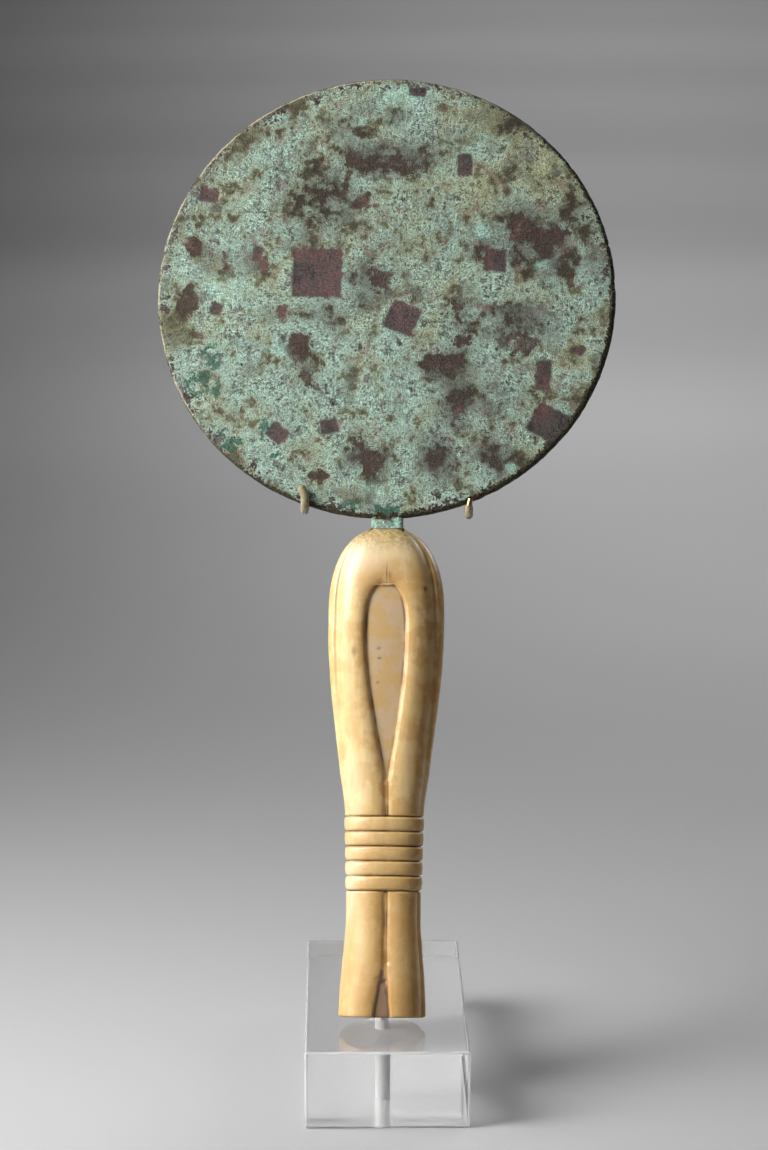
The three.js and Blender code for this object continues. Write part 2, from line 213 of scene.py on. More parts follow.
def vectors_of(elements, name):
    found = np.zeros(len(elements) * 3, np.float32)
    elements.foreach_get(name, found)
    return found.reshape(-1, 3).astype(float)


def points_of(piece):
    return vectors_of(piece.data.vertices, "co")


def normals_of(piece):
    return vectors_of(piece.data.vertex_normals, "vector")


def move_points(piece, points):
    piece.data.vertices.foreach_set("co", np.asarray(points, np.float32).ravel())
    piece.data.update()


def note(piece, name, values):
    """Stores a number or a vector for each point, for the materials to read."""
    values = np.asarray(values, np.float32)
    is_vector = values.ndim == 2
    attribute = piece.data.attributes.new(name, "FLOAT_VECTOR" if is_vector else "FLOAT", "POINT")
    attribute.data.foreach_set("vector" if is_vector else "value", values.ravel())


def rough(points, size, octaves):
    """Fractal unevenness of about plus or minus one, whose largest lumps have that size."""
    return np.array([noise.fractal(Vector(point) / size, 1.0, 2.0, octaves) for point in points])


def eased(values, low, high):
    """Goes from 0 at one value to 1 at the other, smoothly."""
    share = np.clip((np.asarray(values, float) - low) / (high - low), 0, 1)
    return share * share * (3 - 2 * share)


def smooth_path(points, steps, power=0.5):
    """A curve through points, with the same number of steps between each two."""
    points = np.asarray(points, float)
    padded = np.vstack([2 * points[0] - points[1], points, 2 * points[-1] - points[-2]])
    t = np.linspace(0, 1, steps, endpoint=False)[:, None]
    stretches = []
    for p0, p1, p2, p3 in zip(padded, padded[1:], padded[2:], padded[3:]):
        d0, d1, d2 = (np.linalg.norm(b - a) ** power for a, b in ((p0, p1), (p1, p2), (p2, p3)))
        v1 = ((p1 - p0) / d0 - (p2 - p0) / (d0 + d1) + (p2 - p1) / d1) * d1
        v2 = ((p2 - p1) / d1 - (p3 - p1) / (d1 + d2) + (p3 - p2) / d2) * d1
        square = 3 * (p2 - p1) - 2 * v1 - v2
        cube = 2 * (p1 - p2) + v1 + v2
        stretches.append(p1 + v1 * t + square * t ** 2 + cube * t ** 3)
    return np.vstack(stretches + [points[-1:]])


# Disc

FRONT_CELLS = 248
BACK_CELLS = FRONT_CELLS // 2
RIM_CORNER_STEPS = 5
RIM_SIDE_STEPS = 3
TANG_ROWS = 56
TANG_SIDES = 48
TANG_CORNER_POWER = 8

# Places on the disc's face, from its middle: across, up, width, height and turn clockwise.
# Squares of dark red copper oxide, left where squares of crust came away
OXIDE_SQUARES = [
    (-21.5, 8, 16, 16, 2),
    (5.6, -6.6, 9.8, 9.6, 24),
    (52, -40, 11.4, 10.2, 30),
    (25, 42.3, 4.9, 7.2, 0),
    (-56.4, 33, 6.4, 5, 8),
    (34.6, 11.8, 7.4, 7.2, 3),
    (9.7, 65.6, 5.4, 3, 0),
    (50.2, -25, 5, 9.6, 4),
    (61.6, -17, 3.4, 3.6, 30),
    (-17.2, -40.9, 5.8, 4.6, -8),
    (-33.6, -43.2, 6.6, 5.6, 40),
    (-40.6, 14.2, 3.6, 4.6, 20),
    (-38.6, 10.2, 3.2, 3.4, 20),
    (-32.6, -4.6, 3.6, 4, 0),
    (-53.6, -3.6, 4, 4, 15),
]
# Ragged brown places
BROWN_PLACES = [
    (-27.5, -15, 8, 8, 20),
    (-30.5, -17.5, 3.4, 10, -50),
    (-24, -25.5, 3.2, 5, -40),
    (-20.5, -29.5, 3, 6.6, -45),
    (37.6, -14.4, 5, 5.4, 0),
    (44, -15.4, 6, 5.2, 0),
    (-6.2, -50, 8, 7, 30),
    (-4, -53, 7, 5, -20),
    (-20.5, -56.4, 5.4, 3, 25),
    (23.3, -4.5, 3.2, 7, 0),
    (18.5, -4, 2.6, 4.6, 0),
    (24, -13.6, 6, 4, 0),
    (15.6, -19.6, 6.4, 4.6, 10),
    (21, -20.6, 5, 4.6, 0),
    (52, 19, 12, 8, 10),
    (42, 21, 6, 8, 20),
    (-7.6, 31, 5.6, 5.4, 10),
    (6, 43.4, 12, 6, 5),
    (-10, 45, 7, 5, 0),
    (-60.5, 16.5, 5, 5, 30),
    (-51, 13, 3.6, 5, 10),
    (-62, -1, 6, 8, 30),
    (-1.6, 6, 8, 8, 10),
    (-28, 41.4, 2.4, 3, 0),
]
# Soft clouds where the crust is thin: across, up, width, height, turn and strength
THIN_CLOUDS = [
    (-21, 32, 21, 24, 10, 0.8),
    (0, 45, 30, 12, 0, 0.95),
    (-14, 54, 12, 10, 0, 0.5),
    (3, 57, 8, 7, 0, 0.5),
    (-6, 2, 12, 16, 0, 0.75),
    (-19, -5, 16, 9, 0, 0.55),
    (47, 17, 26, 22, 20, 1),
    (32, 16, 12, 12, 0, 0.55),
    (60, 26, 9, 26, -25, 0.6),
    (40, 54, 14, 6, -30, 0.55),
    (45.6, 40, 3.4, 9, 0, 0.6),
    (44, -8, 30, 12, 0, 0.75),
    (20, -22, 16, 12, 0, 0.95),
    (23, -33, 12, 24, 8, 1),
    (17.5, -50, 13, 18, -5, 1),
    (34, -50, 18, 14, 15, 0.8),
    (36, -32, 24, 18, 0, 0.5),
    (24, -8, 14, 14, 0, 0.55),
    (-5, -51, 16, 12, 10, 0.7),
    (-27, -19, 12, 16, -30, 0.5),
    (12, 30, 14, 10, 0, 0.35),
    (8, 10, 16, 12, 0, 0.3),
]
OLIVE_CLOUDS = [
    (-57, 14, 14, 9, 40, 1),
    (-67, -9, 10, 16, 0, 1),
    (-62, -2, 8, 12, 20, 0.6),
    (-45, 52, 16, 9, -38, 0.8),
    (-30, 62, 12, 5, -22, 0.8),
    (-58, 40, 6, 16, 35, 0.6),
    (-66, 20, 5, 16, 14, 0.6),
    (-22, 32, 18, 22, 0, 0.7),
    (35, 55, 22, 10, 25, 0.8),
    (-45, -52, 14, 4, 40, 0.6),
    (-12, -62, 16, 5, 8, 0.8),
    (15, -25, 8, 6, 0, 0.5),
    (60, -33, 12, 8, -40, 0.4),
]
YELLOW_CLOUDS = [
    (48, 44, 20, 30, -30, 1),
    (30, 34, 22, 20, 0, 0.6),
    (24, 58, 16, 8, 10, 0.7),
    (14, -12, 5, 14, 25, 0.6),
    (-40, -12, 8, 6, 0, 0.4),
    (62, -18, 9, 12, 0, 0.5),
    (-47, -8, 6, 5, 0, 0.5),
    (8, 20, 30, 16, 0, 0.3),
]
MALACHITE_CLOUDS = [
    (-59, -27, 9, 8, 0, 1),
    (-55, -19, 6, 9, -20, 0.9),
    (-52, -29, 6, 8, 30, 0.8),
    (-38, -42.4, 3.2, 8, 0, 1),
    (-34.6, -49.4, 3, 4, 20, 0.9),
    (-48, -47, 8, 4, -25, 1),
    (-52, -42, 5, 4, 30, 0.7),
    (2, -67, 14, 4, 0, 0.9),
    (-10, -66, 9, 4, 0, 0.7),
]
BRIGHT_CLOUDS = [
    (40, -54, 3, 3, 0, 1),
    (49.2, 9.8, 4, 3, 10, 1),
    (-33, -17, 5, 3, 0, 0.7),
    (30, 21, 4, 4, 0, 0.6),
    (-2, -61, 10, 5, 0, 0.5),
    (4, 64, 12, 6, 0, 0.6),
    (-52, 2, 14, 8, 0, 0.4),
]
SQUARE_CORNER = 0.6
BROWN_CORNER = 1.2
FAR_OUTSIDE = -9
TANG_RIM = 6
TANG_BRIGHT = 0.7
CLOUD_FADE = 0.9
CLOUD_FADE_POWER = 2.6

# How far the corroded surface stands up or sinks
CRUST_LUMPS = 0.1
CRUST_GRAIN = 0.1
PLATE_WARP = 0.22
SQUARE_SINK = 0.16
CLOUD_SINK = 0.08
RIM_CHIP = 0.35


def circle_grid(cells):
    """A square grid eased onto the unit circle: its points, its quads, and its border's points in turn."""
    line = np.linspace(-1, 1, cells + 1)
    u, v = np.meshgrid(line, line, indexing="ij")
    wide = abs(u) >= abs(v)
    radius = np.where(wide, u, v)
    ratio = np.divide(np.where(wide, v, u), radius, out=np.zeros_like(u), where=radius != 0)
    angle = math.pi / 4 * ratio
    across = radius * np.where(wide, np.cos(angle), np.sin(angle))
    up = radius * np.where(wide, np.sin(angle), np.cos(angle))
    index = np.arange((cells + 1) ** 2).reshape(cells + 1, cells + 1)
    corners = [index[:-1, :-1], index[1:, :-1], index[1:, 1:], index[:-1, 1:]]
    quads = np.stack([corner.ravel() for corner in corners], -1)
    border = [index[:-1, 0], index[-1, :-1], index[:0:-1, -1], index[0, :0:-1]]
    return np.stack([across.ravel(), up.ravel()], -1), quads, np.concatenate(border)


def rim_profile():
    """From front to back: how far the rim stands out from the flat face, and how far behind the middle."""
    corner = DISC_THICKNESS / 2 - DISC_EDGE_RADIUS
    steps = np.linspace(0, math.pi / 2, RIM_CORNER_STEPS + 1)[1:]
    out = DISC_EDGE_RADIUS * np.sin(steps)
    behind = -corner - DISC_EDGE_RADIUS * np.cos(steps)
    side = [(DISC_EDGE_RADIUS, place) for place in np.linspace(-corner, corner, RIM_SIDE_STEPS)[1:-1]]
    return [*zip(out, behind), *side, *zip(out[::-1], -behind[::-1])]


def on_disc(circle, out, behind):
    """Points of the unit circle, spread to the disc's size."""
    up = circle[:, 1] * out * DISC_HEIGHT / DISC_WIDTH
    return np.column_stack([circle[:, 0] * out, np.full(len(circle), behind), up])


def disc_mesh():
    """The plain disc: a fine front, a rim of rings, and a back with half as many cells each way."""
    half = DISC_THICKNESS / 2
    flat = DISC_WIDTH / 2 - DISC_EDGE_RADIUS
    front, front_quads, front_border = circle_grid(FRONT_CELLS)
    back, back_quads, back_border = circle_grid(BACK_CELLS)
    points = [on_disc(front, flat, -half)]
    faces = front_quads.tolist()
    ring = front_border
    count = len(front)
    for out, behind in rim_profile():
        points.append(on_disc(front[front_border], flat + out, behind))
        following = count + np.arange(len(front_border))
        faces += np.stack([ring, following, np.roll(following, -1), np.roll(ring, -1)], -1).tolist()
        ring = following
        count += len(ring)
    points.append(on_disc(back, flat, half))
    faces += (back_quads[:, ::-1] + count).tolist()
    inner = back_border + count
    inner_next = np.roll(inner, -1)
    even, odd, even_next = ring[::2], ring[1::2], np.roll(ring, -2)[::2]
    for corners in ([even, inner, odd], [odd, inner, inner_next], [odd, inner_next, even_next]):
        faces += np.stack(corners, -1).tolist()
    return np.concatenate(points), faces


def rounded_reach(angle, half_width, half_depth, power):
    """Points of a rounded box seen from above, in the directions of the angles."""
    cosine, sine = np.cos(angle), np.sin(angle)
    reach = (abs(cosine / half_width) ** power + abs(sine / half_depth) ** power) ** (-1 / power)
    return np.column_stack([reach * cosine, reach * sine])


def tang_mesh():
    """The tang, from its end in the handle to its root inside the disc."""
    angle = math.pi / 2 + np.linspace(0, 2 * math.pi, TANG_SIDES, endpoint=False)
    ring = rounded_reach(angle, TANG_WIDTH / 2, TANG_THICKNESS / 2, TANG_CORNER_POWER)
    bottom = HANDLE_LENGTH - TANG_IN_HANDLE - DISC_CENTRE
    top = TANG_IN_DISC - DISC_HEIGHT / 2
    rows = [np.column_stack([ring, np.full(TANG_SIDES, up)]) for up in np.linspace(bottom, top, TANG_ROWS)]
    return np.concatenate(rows) - [DISC_SHIFT, 0, 0], closed_quads(TANG_ROWS, TANG_SIDES)


def seen_from(face, place):
    """Where points of the face lie from a marked place, along its own turned axes."""
    across, up, _, _, turn = place[:5]
    angle = math.radians(turn)
    x = face[:, 0] - across
    y = face[:, 1] - up
    return np.column_stack([
        x * math.cos(angle) - y * math.sin(angle),
        x * math.sin(angle) + y * math.cos(angle),
    ])


def square_depth(face, places, corner):
    """Distance inside the nearest of some round-cornered squares, negative outside."""
    best = np.full(len(face), float(FAR_OUTSIDE))
    for place in places:
        beyond = abs(seen_from(face, place)) - (np.array(place[2:4]) / 2 - corner)
        outside = np.hypot(*np.maximum(beyond, 0).T)
        best = np.maximum(best, corner - outside - np.minimum(beyond.max(1), 0))
    return best


def cloud_strength(face, places):
    """How strongly some soft ovals cover each point, from 0 to 1."""
    total = np.zeros(len(face))
    for place in places:
        away = np.hypot(*(seen_from(face, place) / (np.array(place[2:4]) / 2)).T)
        total = np.maximum(total, place[5] * np.exp(-CLOUD_FADE * away ** CLOUD_FADE_POWER))
    return total


def rim_distance(face):
    """How far a point of the face lies in from the disc's outline."""
    share = np.hypot(face[:, 0] / (DISC_WIDTH / 2), face[:, 1] / (DISC_HEIGHT / 2))
    return (1 - share) * (DISC_WIDTH + DISC_HEIGHT) / 4


def make_disc(material):
    disc = make_piece("bronze_disc", *disc_mesh())
    combine(disc, make_piece("tang", *tang_mesh()), "UNION")
    place = points_of(disc)
    face = place[:, [0, 2]]
    rim = rim_distance(face)
    rim = np.where(rim < -0.3, TANG_RIM, rim)
    in_front = eased(-place[:, 1], 0.5, 2)
    oxide = np.where(in_front > 0, square_depth(face, OXIDE_SQUARES, SQUARE_CORNER), FAR_OUTSIDE)
    brown = np.where(in_front > 0, square_depth(face, BROWN_PLACES, BROWN_CORNER), FAR_OUTSIDE)
    thin = in_front * cloud_strength(face, THIN_CLOUDS)
    bare = eased(oxide, -0.3, 0.4)
    crust = CRUST_LUMPS * rough(place, 9, 4)
    crust += CRUST_GRAIN * rough(place + 50, 1.7, 2) * (1 - 0.7 * bare)
    chips = RIM_CHIP * eased(rough(place + 100, 5, 3), 0.35, 0.8) * eased(-rim, -1.4, -0.4)
    moved = place + normals_of(disc) * (crust - SQUARE_SINK * bare - CLOUD_SINK * thin - chips)[:, None]
    on_plate = eased(face[:, 1], -DISC_HEIGHT / 2, -DISC_HEIGHT / 3)
    moved[:, 1] += PLATE_WARP * rough(place * [1, 0, 1], 70, 1) * on_plate
    move_points(disc, moved)
    note(disc, "place", place)
    note(disc, "oxide", oxide)
    note(disc, "brown", brown)
    note(disc, "thin", thin)
    note(disc, "rim", rim)
    # How far towards the lower right, away from the light: drives painted shade on the rim and oxide, and
    # the rim's painted highlight
    note(disc, "shaded", (face[:, 0] - face[:, 1]) / DISC_WIDTH * 1.4)
    clouds = dict(olive=OLIVE_CLOUDS, yellow=YELLOW_CLOUDS, malachite=MALACHITE_CLOUDS)
    for name, places in clouds.items():
        note(disc, name, in_front * cloud_strength(face, places))
    bright = in_front * cloud_strength(face, BRIGHT_CLOUDS)
    note(disc, "bright", np.where(rim == TANG_RIM, TANG_BRIGHT, bright))
    settle(disc, disc_place, material, "mirror_disc")


# Handle

PANEL_STEPS = 7
WALL_STEPS = 4
STRAND_STEPS = 15
GROOVE_STEPS = 4
EDGE_STEPS = 7
ROW_STEP = 0.42
GROOVE_ROWS = 7
BAND_ROWS = 8
ARCH_ROWS = 30
CROWN_ROWS = 46
FOOT_ROWS = 4
CROWN_END_SHARE = 0.36
SLOT_POWER = 8
SLOT_DROPS = [0.25, 0.9, 4, 16, TANG_IN_HANDLE + CLEARANCE]

# Marks on the front of the handle: across, up, width, height, turn and strength
ORANGE_STAINS = [
    (-3.5, 140, 16, 10, 0, 1),
    (8, 137, 12, 9, 0, 0.6),
    (-12, 96, 8, 20, 0, 0.4),
    (9, 78, 8, 14, 0, 0.5),
    (8, 30, 7, 14, 0, 0.5),
    (-8, 12, 9, 8, 0, 0.5),
    (7, 8, 9, 7, 0, 0.6),
]
PALE_STAINS = [
    (-8, 144, 18, 12, 0, 0.8),
    (6, 146, 12, 8, 0, 0.6),
    (-11, 40, 6, 26, 0, 0.7),
    (-10, 70, 7, 24, 0, 0.4),
    (12.3, 119, 2.2, 2.2, 0, 1),
]
DARK_MARKS = [
    (12.2, 133.4, 1.1, 1.5, 0, 1),
    (-2.3, 114.7, 0.9, 0.9, 0, 1),
    (-2, 111.6, 0.7, 0.7, 0, 1),
    (-9.8, 113.7, 1.6, 3, 0, 0.5),
    (-2.2, 104, 0.6, 0.8, 0, 0.7),
    (0.2, 138.4, 0.35, 4.4, 2, 0.8),
    (1, 138, 0.3, 3, -3, 0.6),
]

SIDE_SOIL = 0.45
DIRT_REACH = 0.45
HANDLE_WAVE = 0.07
HANDLE_GRAIN = 0.02
SPLIT_CHIP = 0.45
# Golden painted shade: how far it reaches from the edges of the drop and seams, and how strong it is on
# the viewer's right side, away from the light
GOLDEN_REACH = 2.6
GOLDEN_SIDE = 0.9


def curve_through(shares):
    """Half a size of the handle, as a share of its fullest, at shares of the height up to the shoulder."""
    curve = smooth_path(np.column_stack([OUTLINE_STATIONS, shares]), 24, power=0)
    return lambda station: float(np.interp(station, curve[:, 0], curve[:, 1]))


width_share_at = curve_through(WIDTH_SHARES)
depth_share_at = curve_through(DEPTH_SHARES)


def half_sizes_at(height):
    """Half width and half depth of the handle's plain oval."""
    if height <= SHOULDER:
        station = height / SHOULDER
        return HANDLE_WIDTH / 2 * width_share_at(station), HANDLE_DEPTH / 2 * depth_share_at(station)
    rise = (height - SHOULDER) / (HANDLE_LENGTH - SHOULDER)
    share = (1 - rise ** CROWN_POWER) ** (1 / CROWN_POWER)
    return HANDLE_WIDTH / 2 * share, HANDLE_DEPTH / 2 * share


def is_bound(height):
    return BINDING_BOTTOM < height < BINDING_TOP


def cut_half_width(height):
    """Half width of what is cut along the middle of a face: the drop, a seam or the split at the foot."""
    seam = SEAM_WIDTH / 2
    if height < SPLIT_TOP:
        return max(seam, SPLIT_WIDTH / 2 * (1 - height / SPLIT_TOP))
    if height <= DROP_BOTTOM or height >= DROP_TOP:
        return seam
    if height < DROP_WIDEST:
        rise = (height - DROP_BOTTOM) / (DROP_WIDEST - DROP_BOTTOM)
        return max(seam, DROP_WIDTH / 2 * math.sin(rise * math.pi / 2) ** DROP_TAPER_POWER)
    rise = (height - DROP_WIDEST) / (DROP_TOP - DROP_WIDEST)
    return max(seam, DROP_WIDTH / 2 * (1 - rise ** DROP_TOP_POWER) ** (1 / DROP_TOP_POWER))


def cut_depth(height):
    if is_bound(height) or height >= DROP_TOP:
        return 0
    if height < SPLIT_TOP:
        return SPLIT_DEPTH + (SEAM_DEPTH - SPLIT_DEPTH) * height / SPLIT_TOP
    if height < DROP_BOTTOM:
        return SEAM_DEPTH
    below_top = float(eased(DROP_TOP - height, 0, WALL_RUN))
    foot = min(1, (height - DROP_BOTTOM) / DROP_FOOT_RUN)
    return (SEAM_DEPTH + (DROP_DEPTH - SEAM_DEPTH) * foot) * below_top


def side_inset(height):
    """Distance of the side grooves from the outline, as a share of the half width."""
    rise = np.clip((height - BINDING_TOP) / (SHOULDER - BINDING_TOP), 0, 1)
    return SIDE_INSET_BINDING + (SIDE_INSET_SHOULDER - SIDE_INSET_BINDING) * rise


def binding_sink(height):
    """How deep the surface is sunk by the binding's grooves, and how near the middle of one it is."""
    turn = (BINDING_TOP - BINDING_BOTTOM) / BINDING_TURNS
    phase = (height - BINDING_BOTTOM) / turn
    nearest = min(max(round(phase), 0), BINDING_TURNS)
    away = abs(phase - nearest) * turn / (BINDING_GROOVE_WIDTH / 2)
    nearness = max(0, 1 - away)
    bulge = BINDING_BULGE * math.sin(math.pi * (phase % 1)) if is_bound(height) else 0
    return BINDING_GROOVE_DEPTH * nearness - bulge, nearness


def seam_drift(height):
    """The front seam wanders to the viewer's right below the drop, as a hand cut it."""
    from_drop = eased(DROP_WIDEST - height, 0, DROP_WIDEST - BINDING_TOP)
    from_foot = eased(height, 0, SPLIT_TOP)
    return SEAM_DRIFT * float(min(from_drop, from_foot))


def from_drop(across, height):
    """How far points of a section are from the edge of the drop, or of the seam below it."""
    if height < DROP_WIDEST:
        return across - cut_half_width(height)
    wide = across / (DROP_WIDTH / 2)
    high = (height - DROP_WIDEST) / (DROP_TOP - DROP_WIDEST)
    size = np.maximum((wide ** DROP_TOP_POWER + high ** DROP_TOP_POWER) ** (1 / DROP_TOP_POWER), 1e-3)
    steep_wide = (wide / size) ** (DROP_TOP_POWER - 1) / (DROP_WIDTH / 2)
    steep_high = (high / size) ** (DROP_TOP_POWER - 1) / (DROP_TOP - DROP_WIDEST)
    return (size - 1) / np.maximum(np.hypot(steep_wide, steep_high), 1 / DROP_WIDTH)


def rounded_off(distance, width, drop):
    """How far a strand's surface falls towards its edge, that far from it."""
    return drop * np.clip(1 - distance / width, 0, 1) ** STRAND_ROUND_POWER


def quarter(height):
    """From the middle of a face to the side: how far across as a share of the half width, how deep
    the carving is, and how much dirt it holds."""
    half_width = half_sizes_at(height)[0]
    depth = cut_depth(height)
    cut = min(cut_half_width(height), half_width * WIDEST_CUT_SHARE)
    start = cut + min(WALL_RUN, half_width * WIDEST_WALL_SHARE)
    inset = half_width * side_inset(height)
    groove = half_width - inset
    groove_half = min(SIDE_GROOVE_WIDTH / 2, inset * WIDEST_GROOVE_SHARE)
    bound = is_bound(height)
    groove_depth = 0 if bound else SIDE_GROOVE_DEPTH * half_width / (HANDLE_WIDTH / 2)
    outer_drop = 0 if bound else STRAND_EDGE_DROP
    carved = min(1, depth / SEAM_DEPTH)
    last_drop = outer_drop * MIDDLE_STRAND_SHARE
    reach = (groove - groove_half - start) / 2
    inner_drop = min(STRAND_INNER_DROP, DROP_DEPTH) if height > DROP_BOTTOM else STRAND_EDGE_DROP

    def inner(across):
        if bound:
            return np.zeros(len(across))
        return rounded_off(np.maximum(from_drop(across, height), 0), reach, inner_drop)

    def dirt(across):
        return carved * np.exp(-abs(from_drop(across, height)) / DIRT_REACH)

    across = cut * np.linspace(0, 1, PANEL_STEPS)
    panel = [across, depth + inner(across) * (1 - carved), dirt(across)]
    step = eased(np.linspace(0, 1, WALL_STEPS + 1)[1:], 0, 1)
    across = cut + (start - cut) * step
    wall = [across, depth * (1 - step) + inner(across) * np.maximum(step, 1 - carved), dirt(across)]
    step = np.linspace(0, 1, STRAND_STEPS + 1)[1:]
    across = start + (groove - groove_half - start) * step
    outer = rounded_off(groove - groove_half - across, reach, outer_drop)
    strand = [across, inner(across) + outer, dirt(across)]
    step = np.linspace(0, 1, GROOVE_STEPS + 1)[1:]
    in_groove = [
        groove - groove_half * (1 - step),
        outer_drop + (groove_depth - outer_drop) * eased(step, 0, 1),
        SIDE_SOIL * step * (groove_depth > 0),
    ]
    out_groove = [
        groove + groove_half * step,
        groove_depth + (last_drop - groove_depth) * eased(step, 0, 1),
        SIDE_SOIL * (1 - step) * (groove_depth > 0),
    ]
    across, sink, soil = np.hstack([panel, wall, strand, in_groove, out_groove])
    angle = np.arcsin(np.clip(across / half_width, 0, 1) ** (OVAL_POWER / 2))
    step = np.linspace(0, 1, EDGE_STEPS + 1)[1:]
    angle = np.append(angle, angle[-1] + (math.pi / 2 - angle[-1]) * step)
    sink = np.append(sink, last_drop * (1 - step) ** 2)
    soil = np.append(soil, np.zeros(EDGE_STEPS))
    return angle, sink, soil


def handle_row(height):
    """A whole section, anticlockwise from above, starting at the middle of the back: points and dirt."""
    half_width, half_depth = half_sizes_at(height)
    angle, sink, soil = quarter(height)
    sunk, nearness = binding_sink(height)
    share = np.sin(angle) ** (2 / OVAL_POWER)
    out_share = np.cos(angle) ** (2 / OVAL_POWER)
    slope_x = share ** (OVAL_POWER - 1) / half_width
    slope_y = out_share ** (OVAL_POWER - 1) / half_depth
    slope = np.hypot(slope_x, slope_y)
    x = share * half_width - (sink + sunk) * slope_x / slope
    y = out_share * half_depth - (sink + sunk) * slope_y / slope
    drift = seam_drift(height) * out_share
    soil = np.maximum(soil, nearness)
    last = len(x) - 1
    down = slice(last, 0, -1)
    xs = np.concatenate([-x[:last], -x[down] + drift[down], x[:last] + drift[:last], x[down]])
    ys = np.concatenate([y[:last], -y[down], -y[:last], y[down]])
    soils = np.concatenate([soil[:last], soil[down], soil[:last], soil[down]])
    return np.column_stack([xs, ys, np.full(len(xs), height)]), soils


def handle_heights():
    def stretch(first, last, step=ROW_STEP):
        return np.linspace(first, last, max(2, round((last - first) / step) + 1))

    edge = BINDING_GROOVE_WIDTH / 2
    turn = (BINDING_TOP - BINDING_BOTTOM) / BINDING_TURNS
    heights = [stretch(FOOT_CHAMFER, BINDING_BOTTOM - edge)]
    for i in range(BINDING_TURNS + 1):
        middle = BINDING_BOTTOM + turn * i
        heights.append(np.linspace(middle - edge, middle + edge, GROOVE_ROWS))
        if i < BINDING_TURNS:
            heights.append(np.linspace(middle + edge, middle + turn - edge, BAND_ROWS))
    heights.append(stretch(BINDING_TOP + edge, DROP_WIDEST))
    arch = np.sin(np.linspace(0, math.pi / 2, ARCH_ROWS)) ** (2 / DROP_TOP_POWER)
    heights.append(DROP_WIDEST + (DROP_TOP - DROP_WIDEST) * arch)
    heights.append(DROP_TOP - WALL_RUN * np.array([0.8, 0.6, 0.4, 0.2]))
    full = math.acos(CROWN_END_SHARE ** (CROWN_POWER / 2))
    rise = np.sin(np.linspace(0, full, CROWN_ROWS)) ** (2 / CROWN_POWER)
    crown = SHOULDER + (HANDLE_LENGTH - SHOULDER) * rise
    heights.append(crown[crown > DROP_TOP + WALL_RUN])
    return np.unique(np.round(np.concatenate(heights), 4))


def foot_rows():
    """The section at the foot, drawn in round its chamfer."""
    section, soil = handle_row(FOOT_CHAMFER)
    rows = []
    for angle in np.linspace(0, math.pi / 2, FOOT_ROWS, endpoint=False):
        inset = 1 - FOOT_CHAMFER * (1 - math.sin(angle)) / (HANDLE_DEPTH / 2)
        height = FOOT_CHAMFER * (1 - math.cos(angle))
        rows.append((np.column_stack([section[:, :2] * inset, np.full(len(section), height)]), soil))
    return rows


def slot_rows(crown):
    """The slot for the tang, down from the crown's last section."""
    angle = np.arctan2(crown[:, 1], crown[:, 0]) + math.radians(DISC_TWIST)
    half_width = TANG_WIDTH / 2 + CLEARANCE
    half_depth = TANG_THICKNESS / 2 + CLEARANCE
    mouth = rounded_reach(angle, half_width, half_depth, SLOT_POWER)
    turn = turned(-DISC_TWIST, "Z").to_2x2()
    mouth = mouth @ np.array(turn).T
    full = np.full(len(crown), HANDLE_LENGTH)
    return [(np.column_stack([mouth, full - drop]), np.ones(len(crown))) for drop in SLOT_DROPS]


def make_handle(material):
    rows = foot_rows() + [handle_row(height) for height in handle_heights()]
    rows += slot_rows(rows[-1][0])
    sides = len(rows[0][0])
    faces = closed_quads(len(rows), sides)
    handle = make_piece("ivory_handle", np.concatenate([row[0] for row in rows]), faces)
    soil = np.concatenate([row[1] for row in rows])
    place = points_of(handle)
    face = place[:, [0, 2]]
    in_front = eased(-place[:, 1], 0, 2)
    up = place[:, 2]
    wave = HANDLE_WAVE * rough(place, 16, 2) + HANDLE_GRAIN * rough(place, 2.2, 2)
    near_split = eased(-abs(place[:, 0]), -3.4, -1.6) * eased(up, 3, 8) * eased(-up, -20, -15)
    chips = SPLIT_CHIP * near_split * eased(rough(place + 30, 1.8, 2), 0.1, 0.7) * in_front
    outside = eased(-up, -HANDLE_LENGTH + 0.3, -HANDLE_LENGTH + 1.5)
    inside = np.arange(len(place)) >= len(place) - len(SLOT_DROPS) * sides
    shift = np.where(inside, 0, (wave - chips) * np.maximum(outside, 0.3))
    move_points(handle, place + normals_of(handle) * shift[:, None])
    note(handle, "place", place)
    note(handle, "soil", np.maximum(soil, 0.35 * eased(chips, 0.05, 0.3)))
    panel = np.array([cut_half_width(height) if DROP_BOTTOM < height < DROP_TOP else 0 for height in up])
    note(handle, "panel", eased(panel - abs(place[:, 0]), -0.2, 0.1) * (panel > 0.5))
    split = np.array([cut_half_width(height) if height < SPLIT_TOP else 0 for height in up])
    note(handle, "split", eased(split - abs(place[:, 0]), -0.3, 0.1) * (split > 0.4))
    # Painted shade in golden brown, along the edges of the drop and seams and over the viewer's right
    # side, away from the light
    beside = np.concatenate([from_drop(abs(row[0][:, 0]), row[0][0, 2]) for row in rows])
    loose = np.where([is_bound(height) for height in up], 0.3, 1)
    inner_edges = loose * np.exp(-np.maximum(beside, 0) / GOLDEN_REACH)
    note(handle, "golden", np.maximum(inner_edges, GOLDEN_SIDE * eased(place[:, 0], 2, 15)))
    note(handle, "crown", eased(up, 143, HANDLE_LENGTH))
    note(handle, "low", eased(-up, -80, -45))
    marks = dict(orange=ORANGE_STAINS, pale=PALE_STAINS, mark=DARK_MARKS)
    for name, places in marks.items():
        note(handle, name, in_front * cloud_strength(face, places))
    settle(handle, handle_place, material, "handle")


# Block

BORE_SIDES = 48
BEVEL_SEGMENTS = 3
# The places of these finishes on the block, whose first one is the clear finish
DRILLED = 1
SAWN = 2


